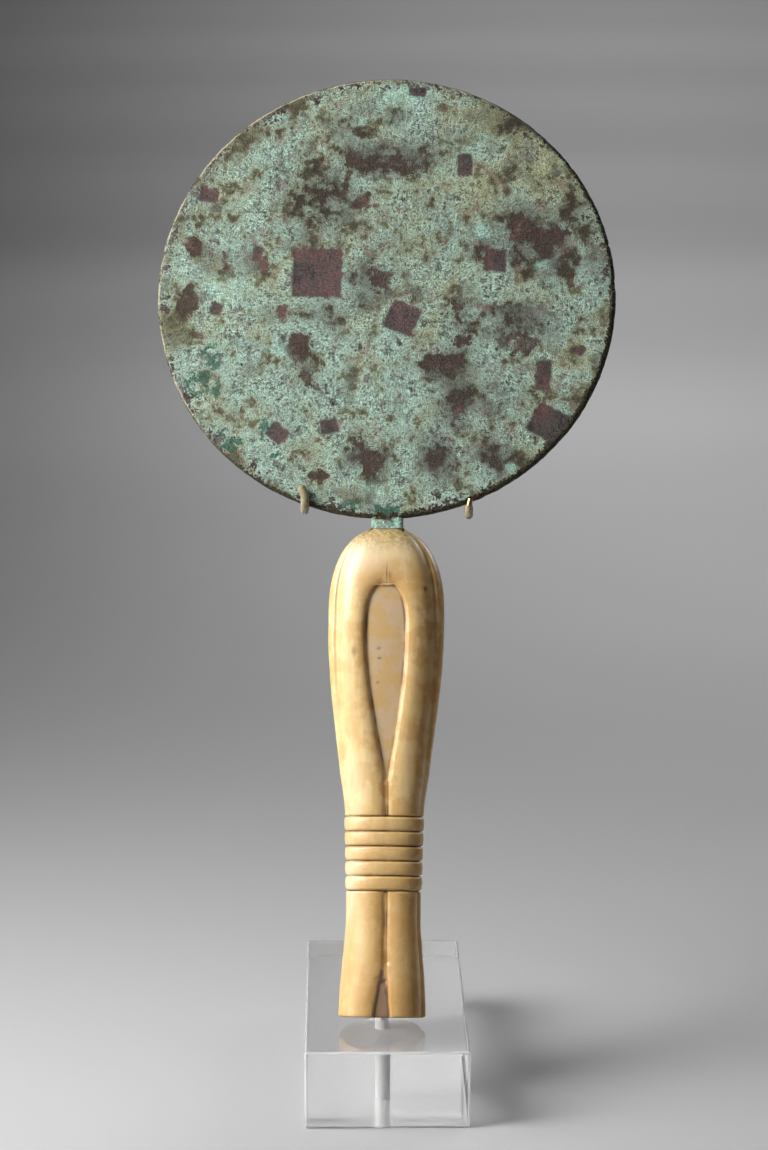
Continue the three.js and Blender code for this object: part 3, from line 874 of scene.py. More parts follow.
def make_block(material, drilled, sawn, stem_foot):
    low, high = np.array(block_low), np.array(block_high)
    signs = np.array([(x, y, z) for x in (0, 1) for y in (0, 1) for z in (0, 1)])
    points = low + (high - low) * signs
    faces = [(0, 1, 3, 2), (4, 6, 7, 5), (0, 4, 5, 1), (2, 3, 7, 6), (0, 2, 6, 4), (1, 5, 7, 3)]
    block = make_piece("clear_block", points, faces)
    bevel = block.modifiers.new("polished edges", "BEVEL")
    bevel.width = BLOCK_CHAMFER
    bevel.segments = BEVEL_SEGMENTS
    bake(block)
    combine(block, bore_piece(stem_foot), "DIFFERENCE")
    block.data.set_sharp_from_angle(angle=math.radians(50))
    weighted = block.modifiers.new("flat faces", "WEIGHTED_NORMAL")
    weighted.keep_sharp = True
    bake(block)
    settle(block, Matrix.Identity(4), material, "stand_block")
    block.data.materials.append(drilled)
    block.data.materials.append(sawn)
    for face in block.data.polygons:
        if in_bore(face, stem_foot):
            face.material_index = DRILLED
        elif is_edge(face) or is_underside(face):
            face.material_index = SAWN


def is_edge(face):
    return max(abs(share) for share in face.normal) < 0.99


def is_underside(face):
    return face.normal.z < -0.99


def in_bore(face, stem_foot):
    away = math.hypot(face.center.x / MM - stem_foot[0], face.center.y / MM - stem_foot[1])
    return away < STEM_DIAMETER and abs(face.normal.z) < 0.5


def bore_piece(stem_foot):
    angle = np.linspace(0, 2 * math.pi, BORE_SIDES, endpoint=False)
    radius = STEM_DIAMETER / 2 + CLEARANCE
    ring = np.column_stack([stem_foot[0] + radius * np.cos(angle), stem_foot[1] + radius * np.sin(angle)])
    top = 2 * block_high.z
    rows = [np.column_stack([ring, np.full(BORE_SIDES, up)]) for up in (BORE_FLOOR, top)]
    return make_piece("bore", np.concatenate(rows), closed_quads(2, BORE_SIDES))


# Stem, prongs and sleeves

stem_behind = HANDLE_DEPTH / 2 + STEM_GAP + STEM_DIAMETER / 2
fork_height = HANDLE_LENGTH + FORK_RISE
whole_twist = math.radians(HANDLE_TWIST + DISC_TWIST)
sleeve_bore = WIRE_DIAMETER / 2 + SLEEVE_FIT
sleeve_radius = sleeve_bore + SLEEVE_WALL


def beside_mirror(across, behind, along):
    return np.array(leaning @ Vector((across, behind, along)))


def stem_foot_place():
    """Where the leaning stem's line comes down to the top of the straight part above the block."""
    top = block_high.z + STEM_STRAIGHT + STEM_BEND / 2
    low = beside_mirror(0, stem_behind, 0)
    high = beside_mirror(0, stem_behind, fork_height)
    return low + (high - low) * (top - low[2]) / (high[2] - low[2])


def stem_path(foot):
    bottom = np.array([foot[0], foot[1], BORE_FLOOR + CLEARANCE])
    bend_start = np.array([foot[0], foot[1], block_high.z + STEM_STRAIGHT])
    top = beside_mirror(0, stem_behind, fork_height)
    along = (top - foot) / np.linalg.norm(top - foot)
    bend_end = foot + along * STEM_BEND / 2
    t = np.linspace(0, 1, 25)[:, None]
    bend = (1 - t) ** 2 * bend_start + 2 * t * (1 - t) * foot + t ** 2 * bend_end
    straight = bend_end + (top + along * WIRE_DIAMETER - bend_end) * np.linspace(0, 1, 20)[1:, None]
    return np.vstack([bottom, bend, straight])


def prong_path(prong):
    """From the fork, out behind the disc, down, under the rim and up in front of it."""
    across = prong["across"]
    half = DISC_THICKNESS / 2 / math.cos(whole_twist)
    bend = half + sleeve_radius + CLEARANCE
    share = (across / math.cos(whole_twist) - DISC_SHIFT) / (DISC_WIDTH / 2)
    rim = DISC_CENTRE - DISC_HEIGHT / 2 * math.sqrt(1 - share * share)
    middle = -across * math.tan(whole_twist)
    points = [
        (0, stem_behind, fork_height),
        (across / 2, (stem_behind + middle + bend) / 2 + WIRE_DIAMETER, fork_height - WIRE_DIAMETER),
        (across, middle + bend + WIRE_DIAMETER, rim + ARM_BACK_OFF),
    ]
    for angle in np.linspace(0, math.pi, 7):
        forward = (1 - math.cos(angle)) / 2
        behind = math.copysign(abs(math.cos(angle)) ** (2 / PRONG_BEND_POWER), math.cos(angle))
        below = max(0, math.sin(angle)) ** (2 / PRONG_BEND_POWER)
        points.append((across, middle + bend * behind, rim + half - bend * below - prong["sag"] * forward))
    points.append((prong["tip"], middle - bend, rim + prong["reach"]))
    return smooth_path([beside_mirror(*point) for point in points], 24)


def stretch_of(path, first_share, short_by):
    """A stretch of a path, from a share of its length to a distance short of its end."""
    lengths = np.append(0, np.cumsum(np.linalg.norm(np.diff(path, axis=0), axis=1)))
    wanted = np.arange(first_share * lengths[-1], lengths[-1] - short_by, WIRE_DIAMETER / 4)
    wanted = np.append(wanted, lengths[-1] - short_by)
    return np.column_stack([np.interp(wanted, lengths, path[:, axis]) for axis in range(3)])


def socket(tree, name, kind, direction, value=None):
    made = tree.interface.new_socket(name=name, socket_type=kind, in_out=direction)
    if value is not None:
        made.default_value = value
    return made


def tube_tree():
    """Geometry nodes that draw a round tube along a curve."""
    tree = bpy.data.node_groups.new("round tube", "GeometryNodeTree")
    socket(tree, "Path", "NodeSocketGeometry", "INPUT")
    socket(tree, "Radius", "NodeSocketFloat", "INPUT", 1.0)
    socket(tree, "Sides", "NodeSocketInt", "INPUT", 24)
    socket(tree, "Closed Ends", "NodeSocketBool", "INPUT", True)
    socket(tree, "Finish", "NodeSocketMaterial", "INPUT")
    socket(tree, "Tube", "NodeSocketGeometry", "OUTPUT")
    start = tree.nodes.new("NodeGroupInput")
    ring = tree.nodes.new("GeometryNodeCurvePrimitiveCircle")
    sweep = tree.nodes.new("GeometryNodeCurveToMesh")
    weld = tree.nodes.new("GeometryNodeMergeByDistance")
    real = tree.nodes.new("GeometryNodeRealizeInstances")
    paint = tree.nodes.new("GeometryNodeSetMaterial")
    end = tree.nodes.new("NodeGroupOutput")
    for giver, given, taker, taken in (
        (start, "Sides", ring, "Resolution"),
        (start, "Radius", ring, "Radius"),
        (start, "Path", sweep, "Curve"),
        (ring, "Curve", sweep, "Profile Curve"),
        (start, "Closed Ends", sweep, "Fill Caps"),
        (sweep, "Mesh", weld, "Geometry"),
        (weld, "Geometry", real, "Geometry"),
        (real, "Geometry", paint, "Geometry"),
        (start, "Finish", paint, "Material"),
        (paint, "Geometry", end, "Tube"),
    ):
        tree.links.new(giver.outputs[given], taker.inputs[taken])
    weld.inputs["Distance"].default_value = 0.002
    return tree


def tube(name, path, radius, sides, material, closed=True, round_tip=False):
    """A tube along a path. A round tip is drawn by shrinking the curve's own radius."""
    widths = np.ones(len(path))
    if round_tip:
        back = np.linalg.norm(path - path[-1], axis=1) / radius
        widths = np.where(back < 1, np.sqrt(np.clip(1 - (1 - back) ** 2, 0.0004, 1)), 1)
    curve = bpy.data.curves.new(name, "CURVE")
    curve.dimensions = "3D"
    spline = curve.splines.new("POLY")
    spline.points.add(len(path) - 1)
    spline.points.foreach_set("co", np.column_stack([path, np.ones(len(path))]).ravel())
    spline.points.foreach_set("radius", widths)
    line = add_object(name + "_line", curve)
    drawn = line.modifiers.new("tube", "NODES")
    drawn.node_group = tubes
    values = {"Radius": radius, "Sides": sides, "Closed Ends": closed, "Finish": material}
    for item in tubes.interface.items_tree:
        if item.name in values:
            drawn[item.identifier] = values[item.name]
    graph = bpy.context.evaluated_depsgraph_get()
    mesh = bpy.data.meshes.new_from_object(line.evaluated_get(graph))
    bpy.data.objects.remove(line)
    mesh.shade_smooth()
    return add_object(name, mesh)


def tip_steps(path, radius):
    """Adds close steps at the end of a path, where its tip is rounded."""
    along = (path[-1] - path[-2]) / np.linalg.norm(path[-1] - path[-2])
    back = radius * (1 - np.sin(np.linspace(0, math.pi / 2, 8)))
    kept = path[np.linalg.norm(path - path[-1], axis=1) > radius]
    return np.vstack([kept, path[-1] - along * back[:, None]])


def make_rod(material, foot):
    stem = tip_steps(stem_path(foot), STEM_DIAMETER / 2)
    rod = tube("brass_rod", stem, STEM_DIAMETER / 2, 40, material, round_tip=True)
    for side, prong in PRONGS.items():
        path = tip_steps(stretch_of(prong_path(prong), 0, prong["wire_short"]), WIRE_DIAMETER / 2)
        combine(rod, tube("wire_" + side, path, WIRE_DIAMETER / 2, 20, material, round_tip=True), "UNION")
    rod.data.set_sharp_from_angle(angle=math.radians(50))
    settle(rod, Matrix.Identity(4), material, "stand_rod")


def make_sleeves(material):
    for side, prong in PRONGS.items():
        path = stretch_of(prong_path(prong), SLEEVE_START, prong["sleeve_short"])
        sleeve = tube("sleeve_" + side, path, sleeve_radius, 28, material, closed=False)
        wall = sleeve.modifiers.new("wall", "SOLIDIFY")
        wall.thickness = SLEEVE_WALL
        wall.offset = -1
        wall.use_even_offset = True
        edges = sleeve.modifiers.new("soft ends", "BEVEL")
        edges.width = SLEEVE_WALL / 4
        edges.segments = 2
        bake(sleeve)
        settle(sleeve, Matrix.Identity(4), material, "prong_sleeve_" + side)


# Shader helpers

def colour(red, green, blue):
    """A colour as an eye or a photograph gives it, from 0 to 255, made linear."""
    shares = [value / 255 for value in (red, green, blue)]
    linear = [share / 12.92 if share <= 0.04045 else ((share + 0.055) / 1.055) ** 2.4 for share in shares]
    return linear + [1]


def set_inputs(tree, node, values):
    """Links each input that is given a socket, and sets each that is given a value."""
    for name, value in values.items():
        if isinstance(value, bpy.types.NodeSocket):
            tree.links.new(value, node.inputs[name])
        else:
            node.inputs[name].default_value = value


def add_node(tree, kind, inputs=None, **settings):
    node = tree.nodes.new(kind)
    for name, value in settings.items():
        setattr(node, name, value)
    set_inputs(tree, node, inputs or {})
    return node


def ramp(tree, value, low, high, start=0.0, end=1.0):
    """Goes smoothly from start to end as the value goes from low to high."""
    inputs = {"Value": value, "From Min": low, "From Max": high, "To Min": start, "To Max": end}
    return add_node(tree, "ShaderNodeMapRange", inputs, interpolation_type="SMOOTHSTEP").outputs["Result"]


def blend(tree, share, first, second, kind="MIX"):
    inputs = {0: share, 6: first, 7: second}
    return add_node(tree, "ShaderNodeMix", inputs, data_type="RGBA", blend_type=kind).outputs[2]


def sums(tree, operation, first, second):
    return add_node(tree, "ShaderNodeMath", {0: first, 1: second}, operation=operation).outputs[0]


def noted(tree, name):
    """Reads what was stored at the points: a number, or the place as a vector."""
    found = add_node(tree, "ShaderNodeAttribute", attribute_name=name)
    return found.outputs["Vector" if name == "place" else "Fac"]


def mottle_tree():
    """Shader nodes shared by every finish: lumps of one size, as a mask and as a swing about zero."""
    tree = bpy.data.node_groups.new("mottle", "ShaderNodeTree")
    socket(tree, "Place", "NodeSocketVector", "INPUT")
    socket(tree, "Size", "NodeSocketFloat", "INPUT", 1.0)
    socket(tree, "Detail", "NodeSocketFloat", "INPUT", 3.0)
    socket(tree, "Roughness", "NodeSocketFloat", "INPUT", 0.6)
    socket(tree, "Low", "NodeSocketFloat", "INPUT", 0.4)
    socket(tree, "High", "NodeSocketFloat", "INPUT", 0.6)
    socket(tree, "Mask", "NodeSocketFloat", "OUTPUT")
    socket(tree, "Swing", "NodeSocketFloat", "OUTPUT")
    start = tree.nodes.new("NodeGroupInput")
    texture = add_node(tree, "ShaderNodeTexNoise", {
        "Vector": start.outputs["Place"],
        "Scale": sums(tree, "DIVIDE", 1.0, start.outputs["Size"]),
        "Detail": start.outputs["Detail"],
        "Roughness": start.outputs["Roughness"],
    })
    add_node(tree, "NodeGroupOutput", {
        "Mask": ramp(tree, texture.outputs[0], start.outputs["Low"], start.outputs["High"]),
        "Swing": sums(tree, "SUBTRACT", texture.outputs[0], 0.5),
    })
    return tree


def lumps(tree, place, size, **settings):
    """The shared mottle, for lumps of one size."""
    inputs = {"Place": place, "Size": size, **settings}
    return add_node(tree, "ShaderNodeGroup", inputs, node_tree=mottles).outputs


def mottle(tree, place, size, low=0.4, high=0.6, detail=3.0, roughness=0.6):
    return lumps(tree, place, size, Low=low, High=high, Detail=detail, Roughness=roughness)["Mask"]


def swing(tree, place, size, detail=3.0, roughness=0.6):
    return lumps(tree, place, size, Detail=detail, Roughness=roughness)["Swing"]


def total(tree, *parts):
    """Adds up values, each given alone or as a pair with the share of it that counts."""
    result = None
    for part in parts:
        value = sums(tree, "MULTIPLY", *part) if isinstance(part, tuple) else part
        result = value if result is None else sums(tree, "ADD", result, value)
    return result


def shades(tree, value, stops):
    """Colours for values from 0 to 1, smoothly."""
    node = add_node(tree, "ShaderNodeValToRGB", {"Fac": value})
    elements = node.color_ramp.elements
    while len(elements) < len(stops):
        elements.new(0.5)
    for element, (place, shade) in zip(elements, stops):
        element.position = place
        element.color = colour(*shade)
    return node.outputs["Color"]


def new_finish(name):
    """A material with an empty Principled shader, and the shader itself."""
    material = bpy.data.materials.new(name)
    material.use_nodes = True
    return material, material.node_tree, material.node_tree.nodes["Principled BSDF"]


def bump(tree, height, distance, strength=1.0, normal=None):
    inputs = {"Height": height, "Distance": distance * MM, "Strength": strength}
    if normal is not None:
        inputs["Normal"] = normal
    return add_node(tree, "ShaderNodeBump", inputs).outputs["Normal"]


# Finishes

# Sizes of the crust's lumps and flakes
CRUST_PATCH = 7
CRUST_LUMP = 2.2
CRUST_FINE = 0.75
CRUST_GRIT = 0.38
LARGE_FLAKE = 5.5
SMALL_FLAKE = 2.3
FLAKE_SHAKE = 1.6
YELLOW_PATCH = 14
RUGGED_PATCH = 11
GREY_PATCH = 8
RED_PATCH = 5
WORN_AND_LIT_RUN = 6
CURL_SIZE = 4.5

# Colours of the crust from its thinnest to its thickest
CRUST_SHADES = [
    (0.0, (50, 45, 42)),
    (0.2, (84, 80, 74)),
    (0.4, (126, 138, 126)),
    (0.6, (166, 194, 178)),
    (0.85, (204, 232, 216)),
]
YELLOW_SHADES = [
    (0.0, (50, 47, 38)),
    (0.2, (88, 85, 66)),
    (0.4, (136, 138, 108)),
    (0.6, (172, 180, 146)),
    (0.85, (204, 210, 176)),
]
OXIDE_SHADES = [
    (0.1, (40, 32, 32)),
    (0.5, (78, 53, 54)),
    (0.9, (110, 80, 77)),
]
# Oxide colours for painted shade, towards the disc's lower right
PAINTED_SHADE_OXIDE = [
    (0.3, (16, 14, 14)),
    (0.6, (62, 52, 50)),
]
RIM_SHADES = [
    (0.2, (34, 32, 25)),
    (0.8, (88, 80, 58)),
]
BRIGHT_GREEN = (170, 228, 212)
BARE_BROWN = (106, 86, 76)
GREY_FILM = (124, 134, 122)
RED_FILM = (136, 104, 98)
DARK_MALACHITE = (60, 104, 86)
# Pale line on the rim: partly wear, partly painted highlight
WORN_AND_LIT_RIM = (194, 186, 158)


def flake_swing(tree, place, size):
    """Crisp uneven flakes of one size, each with its own height about zero."""
    noise_inputs = {"Vector": place, "Scale": FLAKE_SHAKE / size, "Detail": 4.0}
    shaken = add_node(tree, "ShaderNodeTexNoise", noise_inputs).outputs["Color"]
    as_far = {0: shaken, 1: (size, size, size)}
    shaken = add_node(tree, "ShaderNodeVectorMath", as_far, operation="MULTIPLY").outputs[0]
    moved = {0: place, 1: shaken}
    warped = add_node(tree, "ShaderNodeVectorMath", moved, operation="ADD").outputs[0]
    cells = add_node(tree, "ShaderNodeTexVoronoi", {"Vector": warped, "Scale": 1 / size})
    return sums(tree, "SUBTRACT", cells.outputs["Color"], 0.5)


def crust_swings(tree, place):
    """The uneven values that the whole crust shares, each about zero."""
    return SimpleNamespace(
        middling=swing(tree, place, CRUST_PATCH),
        small=swing(tree, place, CRUST_LUMP),
        fine=swing(tree, place, CRUST_FINE, roughness=0.7),
        grain=swing(tree, place, CRUST_GRIT, detail=2),
        flakes=flake_swing(tree, place, LARGE_FLAKE),
        chips=flake_swing(tree, place, SMALL_FLAKE),
    )


def crust_places(tree, uneven):
    """How brown, how thin and how olive the crust is, each with a ragged edge."""
    patchy = total(
        tree, (uneven.middling, 5.5), (uneven.small, 4.5), (uneven.flakes, 0.45),
        (uneven.chips, 0.25), (uneven.fine, 3.0),
    )
    browned = ramp(tree, total(tree, noted(tree, "brown"), (patchy, 1.7)), -0.2, 1.1)
    at_rim = ramp(tree, total(tree, noted(tree, "rim"), (patchy, 3.0)), 2.4, -0.2, 0, 0.85)
    worn_through = total(tree, noted(tree, "thin"), (patchy, 0.6))
    worn_through = ramp(tree, worn_through, 0.8, 1.15, 0, 0.8)
    browned = sums(tree, "MAXIMUM", sums(tree, "MAXIMUM", browned, at_rim), worn_through)
    thin, olive = [
        ramp(tree, total(tree, noted(tree, name), -0.3, (patchy, 0.8)), -0.35, 0.75)
        for name in ("thin", "olive")
    ]
    return browned, thin, olive


def crust_thickness(tree, place, uneven, browned, thin, olive):
    rugged = ramp(tree, swing(tree, place, RUGGED_PATCH), -0.12, 0.12, 0.5, 1.7)
    return total(
        tree, 0.6, (uneven.middling, 0.9), (uneven.small, 1.3),
        (sums(tree, "MULTIPLY", uneven.fine, rugged), 0.75),
        (uneven.flakes, 0.14), (uneven.chips, 0.12),
        (thin, -0.4), (olive, -0.26), (browned, -0.38), (noted(tree, "bright"), 0.25),
    )


def crust_colour(tree, place, uneven, thickness, browned, olive):
    """The crust's colour by its thickness, with brown, grey and red films."""
    yellow = total(
        tree, 0.2, (swing(tree, place, YELLOW_PATCH), 2.4), (noted(tree, "yellow"), 0.8),
        (olive, 0.8), (uneven.fine, 1.5),
    )
    green_crust = shades(tree, thickness, CRUST_SHADES)
    yellow_crust = shades(tree, thickness, YELLOW_SHADES)
    surface = blend(tree, ramp(tree, yellow, 0.0, 1.0), green_crust, yellow_crust)
    films = [
        (sums(tree, "MULTIPLY", noted(tree, "bright"), 0.6), BRIGHT_GREEN),
        (sums(tree, "MULTIPLY", browned, 0.4), BARE_BROWN),
        (ramp(tree, swing(tree, place, GREY_PATCH, 4, 0.65), 0.02, 0.14, 0, 0.55), GREY_FILM),
        (ramp(tree, swing(tree, place, RED_PATCH, 4, 0.65), 0.07, 0.17, 0, 0.45), RED_FILM),
    ]
    for share, film in films:
        surface = blend(tree, share, surface, colour(*film))
    return surface


def oxide_colour(tree, uneven):
    """Dark red oxide, with painted shade that turns it nearly black towards the disc's lower right, away
    from the light.
    """
    mixed = total(tree, 0.5, (uneven.middling, 2.0), (uneven.fine, 1.6), (uneven.grain, 1.2))
    speckled = shades(tree, total(tree, 0.5, (uneven.fine, 3.0)), PAINTED_SHADE_OXIDE)
    painted_shade = ramp(tree, noted(tree, "shaded"), 0.8, 0.88, 0, 0.65)
    return blend(tree, painted_shade, shades(tree, mixed, OXIDE_SHADES), speckled)


def with_rim(tree, surface, place, uneven):
    """Adds the rim's dark line, partly dark patina and partly painted shade widening it towards the lower
    right, and at the upper left a pale line that is partly wear and partly painted highlight where the rim
    faces the light.
    """
    rim = noted(tree, "rim")
    shaded = noted(tree, "shaded")
    # Painted shade: the dark line widens towards the lower right, away from the light
    edge = total(tree, rim, (uneven.small, 4.0), (uneven.fine, 3.0), (shaded, -0.9))
    dark = shades(tree, total(tree, 0.5, (uneven.fine, 2.5)), RIM_SHADES)
    surface = blend(tree, ramp(tree, edge, 1.2, 0.6), surface, dark)
    worn_and_lit = sums(tree, "MULTIPLY", ramp(tree, rim, 0.15, 0.35), ramp(tree, rim, 0.95, 0.6))
    in_runs = ramp(tree, swing(tree, place, WORN_AND_LIT_RUN), -0.1, 0.04)
    worn_and_lit = sums(tree, "MULTIPLY", worn_and_lit, in_runs)
    # Painted highlight: the pale line is kept only where the rim faces the light, at the upper left
    worn_and_lit = sums(tree, "MULTIPLY", worn_and_lit, ramp(tree, shaded, -0.4, 0.1, 0.55, 0))
    return blend(tree, worn_and_lit, surface, colour(*WORN_AND_LIT_RIM))


def bronze_finish():
    """Pale green crust, grained and pitted, over brown and dark red oxides."""
    material, tree, shader = new_finish("patinated bronze")
    place = noted(tree, "place")
    uneven = crust_swings(tree, place)
    browned, thin, olive = crust_places(tree, uneven)
    thickness = crust_thickness(tree, place, uneven, browned, thin, olive)
    surface = crust_colour(tree, place, uneven, thickness, browned, olive)

    in_oxide = total(tree, noted(tree, "oxide"), (uneven.small, 3.0), (uneven.fine, 3.0))
    oxide_mask = ramp(tree, in_oxide, -0.25, 0.45)
    oxide_share = sums(tree, "MULTIPLY", oxide_mask, 0.93)
    surface = blend(tree, oxide_share, surface, oxide_colour(tree, uneven))

    curls = sums(tree, "ABSOLUTE", swing(tree, place, CURL_SIZE, roughness=0.5), 0)
    curls = ramp(tree, curls, 0.09, 0.03)
    malachite = sums(tree, "MULTIPLY", noted(tree, "malachite"), curls)
    malachite = ramp(tree, malachite, 0.2, 0.6, 0, 0.85)
    surface = blend(tree, malachite, surface, colour(*DARK_MALACHITE))

    # Partly the grain's own tone, partly painted light and shade of its fine relief, multiplied into the
    # colour and calmer on the oxide
    grain_light_and_shade = total(tree, (uneven.fine, 0.9), uneven.grain)
    grain_light_and_shade = ramp(tree, grain_light_and_shade, -0.22, 0.22, 0.5, 1.45)
    calm = ramp(tree, oxide_mask, 0, 1, 0, 0.6)
    grain_light_and_shade = blend(tree, calm, grain_light_and_shade, (0.93, 0.93, 0.93, 1))
    surface = blend(tree, 1.0, surface, grain_light_and_shade, "MULTIPLY")
    surface = with_rim(tree, surface, place, uneven)

    height = total(tree, (thickness, 0.6), (uneven.grain, 1.2))
    height = sums(tree, "MULTIPLY", height, ramp(tree, oxide_mask, 0, 1, 1, 0.5))
    set_inputs(tree, shader, {
        "Base Color": surface,
        "Roughness": ramp(tree, oxide_mask, 0, 1, 0.88, 0.66),
        "Metallic": 0.0,
        "Specular IOR Level": 0.3,
        "Normal": bump(tree, height, 0.5, 0.9),
    })
    return material


IVORY = (230, 202, 142)
IVORY_DEEP = (216, 182, 114)
IVORY_STREAK = (240, 220, 176)
IVORY_BLOTCH = (200, 152, 84)
IVORY_LOWER = (198, 154, 90)
ORANGE_STAIN = (206, 150, 78)
PALE_STAIN = (238, 222, 192)
GOLDEN_PAINTED_SHADE = (188, 136, 66)
PANEL_PINK = (206, 178, 142)
PANEL_TAN = (206, 170, 114)
SPLIT_BROWN = (150, 120, 94)
CROWN_OLIVE = (176, 154, 100)
CROWN_SPECK = (116, 102, 60)
SOIL = (84, 54, 32)
DARK_MARK = (84, 52, 34)
STREAK_STRETCH = 0.14


def ivory_body(tree, place, streaks, blotches):
    """Tan and cream ivory, with the stains that years of handling leave, and golden painted shade along
    the drop and over the viewer's right side, away from the light.
    """
    broad = mottle(tree, place, 18, 0.35, 0.65)
    crown = noted(tree, "crown")
    specks = mottle(tree, place, 1.1, 0.42, 0.56, 4, 0.75)
    golden_strength = ramp(tree, blotches, 0, 1, 0.5, 0.9)
    panel = blend(tree, blotches, colour(*PANEL_PINK), colour(*PANEL_TAN))
    body = blend(tree, broad, colour(*IVORY), colour(*IVORY_DEEP))
    layers = [
        (sums(tree, "MULTIPLY", streaks, 0.6), colour(*IVORY_STREAK)),
        (sums(tree, "MULTIPLY", blotches, 0.4), colour(*IVORY_BLOTCH)),
        (ramp(tree, noted(tree, "low"), 0, 1, 0, 0.5), colour(*IVORY_LOWER)),
        (sums(tree, "MULTIPLY", noted(tree, "orange"), 0.55), colour(*ORANGE_STAIN)),
        (sums(tree, "MULTIPLY", noted(tree, "pale"), 0.7), colour(*PALE_STAIN)),
        # painted shade in golden brown
        (sums(tree, "MULTIPLY", noted(tree, "golden"), golden_strength), colour(*GOLDEN_PAINTED_SHADE)),
        (noted(tree, "panel"), panel),
        (noted(tree, "split"), colour(*SPLIT_BROWN)),
        (sums(tree, "MULTIPLY", crown, 0.5), colour(*CROWN_OLIVE)),
        (total(tree, (sums(tree, "MULTIPLY", crown, specks), 0.7)), colour(*CROWN_SPECK)),
    ]
    for share, shade in layers:
        body = blend(tree, share, body, shade)
    return body


def ivory_finish():
    """Aged ivory, streaked along its length, with dirt in the carving."""
    material, tree, shader = new_finish("aged ivory")
    place = noted(tree, "place")
    stretch = {"Vector": place, "Scale": (1, 1, STREAK_STRETCH)}
    stretched = add_node(tree, "ShaderNodeMapping", stretch).outputs[0]
    streaks = mottle(tree, stretched, 2.4, 0.3, 0.7, 4)
    blotches = mottle(tree, place, 5.5, 0.4, 0.62, 4)
    fine = mottle(tree, place, 0.9, 0.3, 0.7)
    body = ivory_body(tree, place, streaks, blotches)
    patchy = ramp(tree, swing(tree, place, 9, 2), -0.12, 0.12, 0.45, 0.85)
    soil = sums(tree, "MULTIPLY", noted(tree, "soil"), patchy)
    body = blend(tree, ramp(tree, soil, 0.1, 1.0), body, colour(*SOIL))
    body = blend(tree, noted(tree, "mark"), body, colour(*DARK_MARK))
    height = total(tree, fine, (streaks, 0.6))
    set_inputs(tree, shader, {
        "Base Color": body,
        "Roughness": ramp(tree, blotches, 0.0, 1.0, 0.36, 0.5),
        "Metallic": 0.0,
        "Subsurface Weight": 0.2,
        "Subsurface Radius": (1.0, 0.55, 0.28),
        "Subsurface Scale": 2.5 * MM,
        "Coat Weight": 0.45,
        "Coat Roughness": 0.32,
        "Normal": bump(tree, height, 0.05, 0.6),
    })
    return material


def object_place(tree):
    """The place on a piece in millimetres."""
    coordinates = add_node(tree, "ShaderNodeTexCoord").outputs["Object"]
    mapping = add_node(tree, "ShaderNodeMapping", {"Vector": coordinates, "Scale": (1000, 1000, 1000)})
    return mapping.outputs[0]


def acrylic_finish():
    """Clear polished acrylic, a little hazy."""
    material, tree, shader = new_finish("clear acrylic")
    place = object_place(tree)
    haze = mottle(tree, place, 6, 0.4, 0.7, 5, 0.7)
    set_inputs(tree, shader, {
        "Base Color": (0.985, 0.99, 0.99, 1),
        "Roughness": total(tree, 0.01, (haze, 0.02)),
        "Metallic": 0.0,
        "IOR": 1.49,
        "Transmission Weight": 1.0,
    })
    return material


def frosted_finish(name, see_through, roughness):
    """Acrylic where it is drilled or sawn: whitish, and only partly see-through."""
    material, tree, shader = new_finish(name)
    cloudy = mottle(tree, object_place(tree), 4, 0.3, 0.7, 4, 0.7)
    set_inputs(tree, shader, {
        "Base Color": blend(tree, cloudy, (1, 1, 1, 1), (0.96, 0.96, 0.96, 1)),
        "Roughness": roughness,
        "Metallic": 0.0,
        "IOR": 1.49,
        "Transmission Weight": see_through,
    })
    return material


def brass_finish():
    """Satin brass with a thin brown tarnish."""
    material, tree, shader = new_finish("satin brass")
    place = object_place(tree)
    tarnish = mottle(tree, place, 9, 0.3, 0.9, 3, 0.5)
    fine = mottle(tree, place, 0.5, 0.3, 0.7, 2)
    set_inputs(tree, shader, {
        "Base Color": blend(tree, tarnish, (0.6, 0.44, 0.2, 1), (0.44, 0.31, 0.14, 1)),
        "Roughness": ramp(tree, tarnish, 0.0, 1.0, 0.26, 0.45),
        "Metallic": 1.0,
        "Normal": bump(tree, fine, 0.02, 0.5),
    })
    return material


def sleeve_finish():
    """Thin translucent tan tubing, a little cloudy."""
    material, tree, shader = new_finish("sleeve plastic")
    place = object_place(tree)
    cloudy = mottle(tree, place, 1.6, 0.35, 0.65, 3)
    set_inputs(tree, shader, {
        "Base Color": blend(tree, cloudy, colour(206, 196, 168), colour(178, 164, 130)),
        "Roughness": ramp(tree, cloudy, 0.0, 1.0, 0.25, 0.4),
        "Metallic": 0.0,
        "IOR": 1.45,
        "Transmission Weight": 0.45,
        "Subsurface Weight": 0.2,
        "Subsurface Scale": 0.5 * MM,
        "Normal": bump(tree, cloudy, 0.02, 0.3),
    })
    return material


# Camera, floor and light

CAMERA_PLACE = (-0.01552, -1.22639, 0.38450)
CAMERA_PITCH = 10.3485
CAMERA_HEADING = 0.7146
CAMERA_LENS = 124.13
SENSOR_LONG_SIDE = 36
FLOOR_HALF = 20
FLOOR_DROP = 0.05
# Lights over the floor behind, each this much farther from the camera than the last
FLOOR_LIGHT_NEAREST = 2.4
FLOOR_LIGHT_STEP = 1.3
FLOOR_LIGHTS = [0.2, 0.15, 0.13, 0.12, 0.12, 0.12, 0.12]


def make_camera():
    lens = bpy.data.cameras.new("camera")
    lens.sensor_width = SENSOR_LONG_SIDE
    lens.lens = CAMERA_LENS
    camera = add_object("camera", lens)
    camera.location = CAMERA_PLACE
    camera.rotation_euler = (math.radians(90 - CAMERA_PITCH), 0, math.radians(-CAMERA_HEADING))
    bpy.context.scene.camera = camera


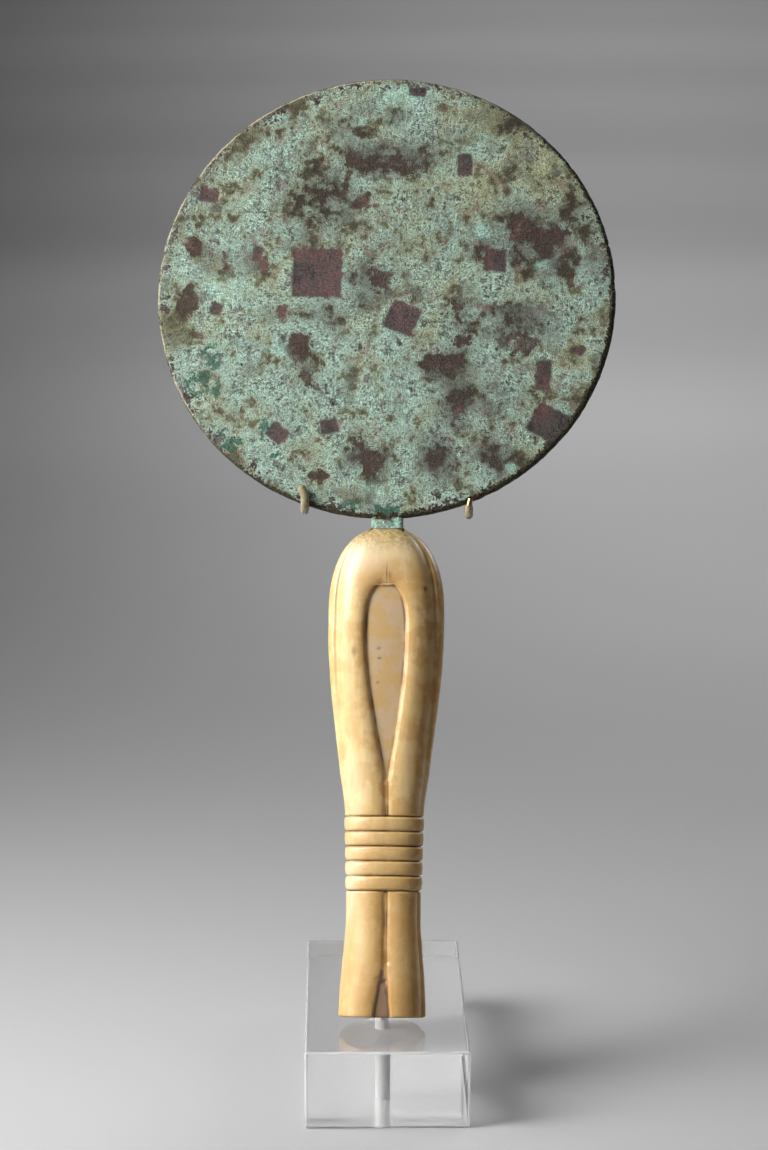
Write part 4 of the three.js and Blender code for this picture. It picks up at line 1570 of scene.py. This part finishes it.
def floor_finish():
    material, tree, shader = new_finish("pale floor")
    place = object_place(tree)
    faint = mottle(tree, place, 300, 0.3, 0.7, 2)
    set_inputs(tree, shader, {
        "Base Color": blend(tree, faint, (0.46, 0.46, 0.465, 1), (0.45, 0.45, 0.455, 1)),
        "Roughness": 0.7,
        "Metallic": 0.0,
    })
    return material


def make_floor():
    side = FLOOR_HALF / MM
    points = [(-side, -side, 0), (side, -side, 0), (side, side, 0), (-side, side, 0)]
    floor = make_piece("floor", np.array(points, float) - [0, 0, FLOOR_DROP], [(0, 1, 2, 3)])
    floor.data.transform(Matrix.Scale(MM, 4))
    floor.data.materials.append(floor_finish())


def make_light(name, place, target, size, power, spread=180):
    lamp = bpy.data.lights.new(name, "AREA")
    lamp.shape = "RECTANGLE"
    lamp.size, lamp.size_y = size
    lamp.energy = power
    lamp.spread = math.radians(spread)
    light = add_object(name, lamp)
    light.location = place
    light.rotation_euler = (Vector(target) - Vector(place)).to_track_quat("-Z", "Y").to_euler()


def make_lights():
    middle = (0, -0.03, 0.15)
    make_light("key", (-0.6, -0.25, 0.5), middle, (0.35, 0.5), 2.45, 100)
    make_light("side", (-0.75, 0, 0.5), middle, (0.35, 0.5), 1.2, 100)
    make_light("pool", (-0.7, -0.35, 1), (-0.25, -0.15, 0), (0.4, 0.4), 0.6, 50)
    make_light("front", (-0.3, -2.2, 0.9), middle, (1, 0.8), 1)
    make_light("top", (0.1, -0.1, 1.6), middle, (1, 1), 1)
    make_light("back", (1, 1, 0.8), middle, (0.7, 0.7), 2, 100)
    make_light("rear", (0.1, 2.4, 0.85), (0, 0, 0.1), (1.6, 0.5), 1.5)
    for count, strength in enumerate(FLOOR_LIGHTS):
        away = FLOOR_LIGHT_NEAREST * FLOOR_LIGHT_STEP ** count
        across = CAMERA_PLACE[0] + 0.07 * away
        behind = CAMERA_PLACE[1] + away
        size = (0.2 * away, 0.5 * away)
        power = strength * away ** 2
        make_light(f"floor {count}", (across, behind, 0.3 * away), (across, behind, 0), size, power, 75)
    world = bpy.data.worlds.new("studio")
    world.use_nodes = True
    world.node_tree.nodes["Background"].inputs["Color"].default_value = (1, 1, 1, 1)
    world.node_tree.nodes["Background"].inputs["Strength"].default_value = 0.03
    bpy.context.scene.world = world


# Assembly

mottles = mottle_tree()
tubes = tube_tree()
stem_foot = stem_foot_place()
bpy.context.scene.view_settings.view_transform = "Standard"
make_camera()
make_floor()
make_lights()
make_disc(bronze_finish())
make_handle(ivory_finish())
drilled = frosted_finish("drilled acrylic", 0.1, 0.6)
sawn = frosted_finish("sawn acrylic", 0.65, 0.06)
make_block(acrylic_finish(), drilled, sawn, stem_foot)
make_rod(brass_finish(), stem_foot)
make_sleeves(sleeve_finish())
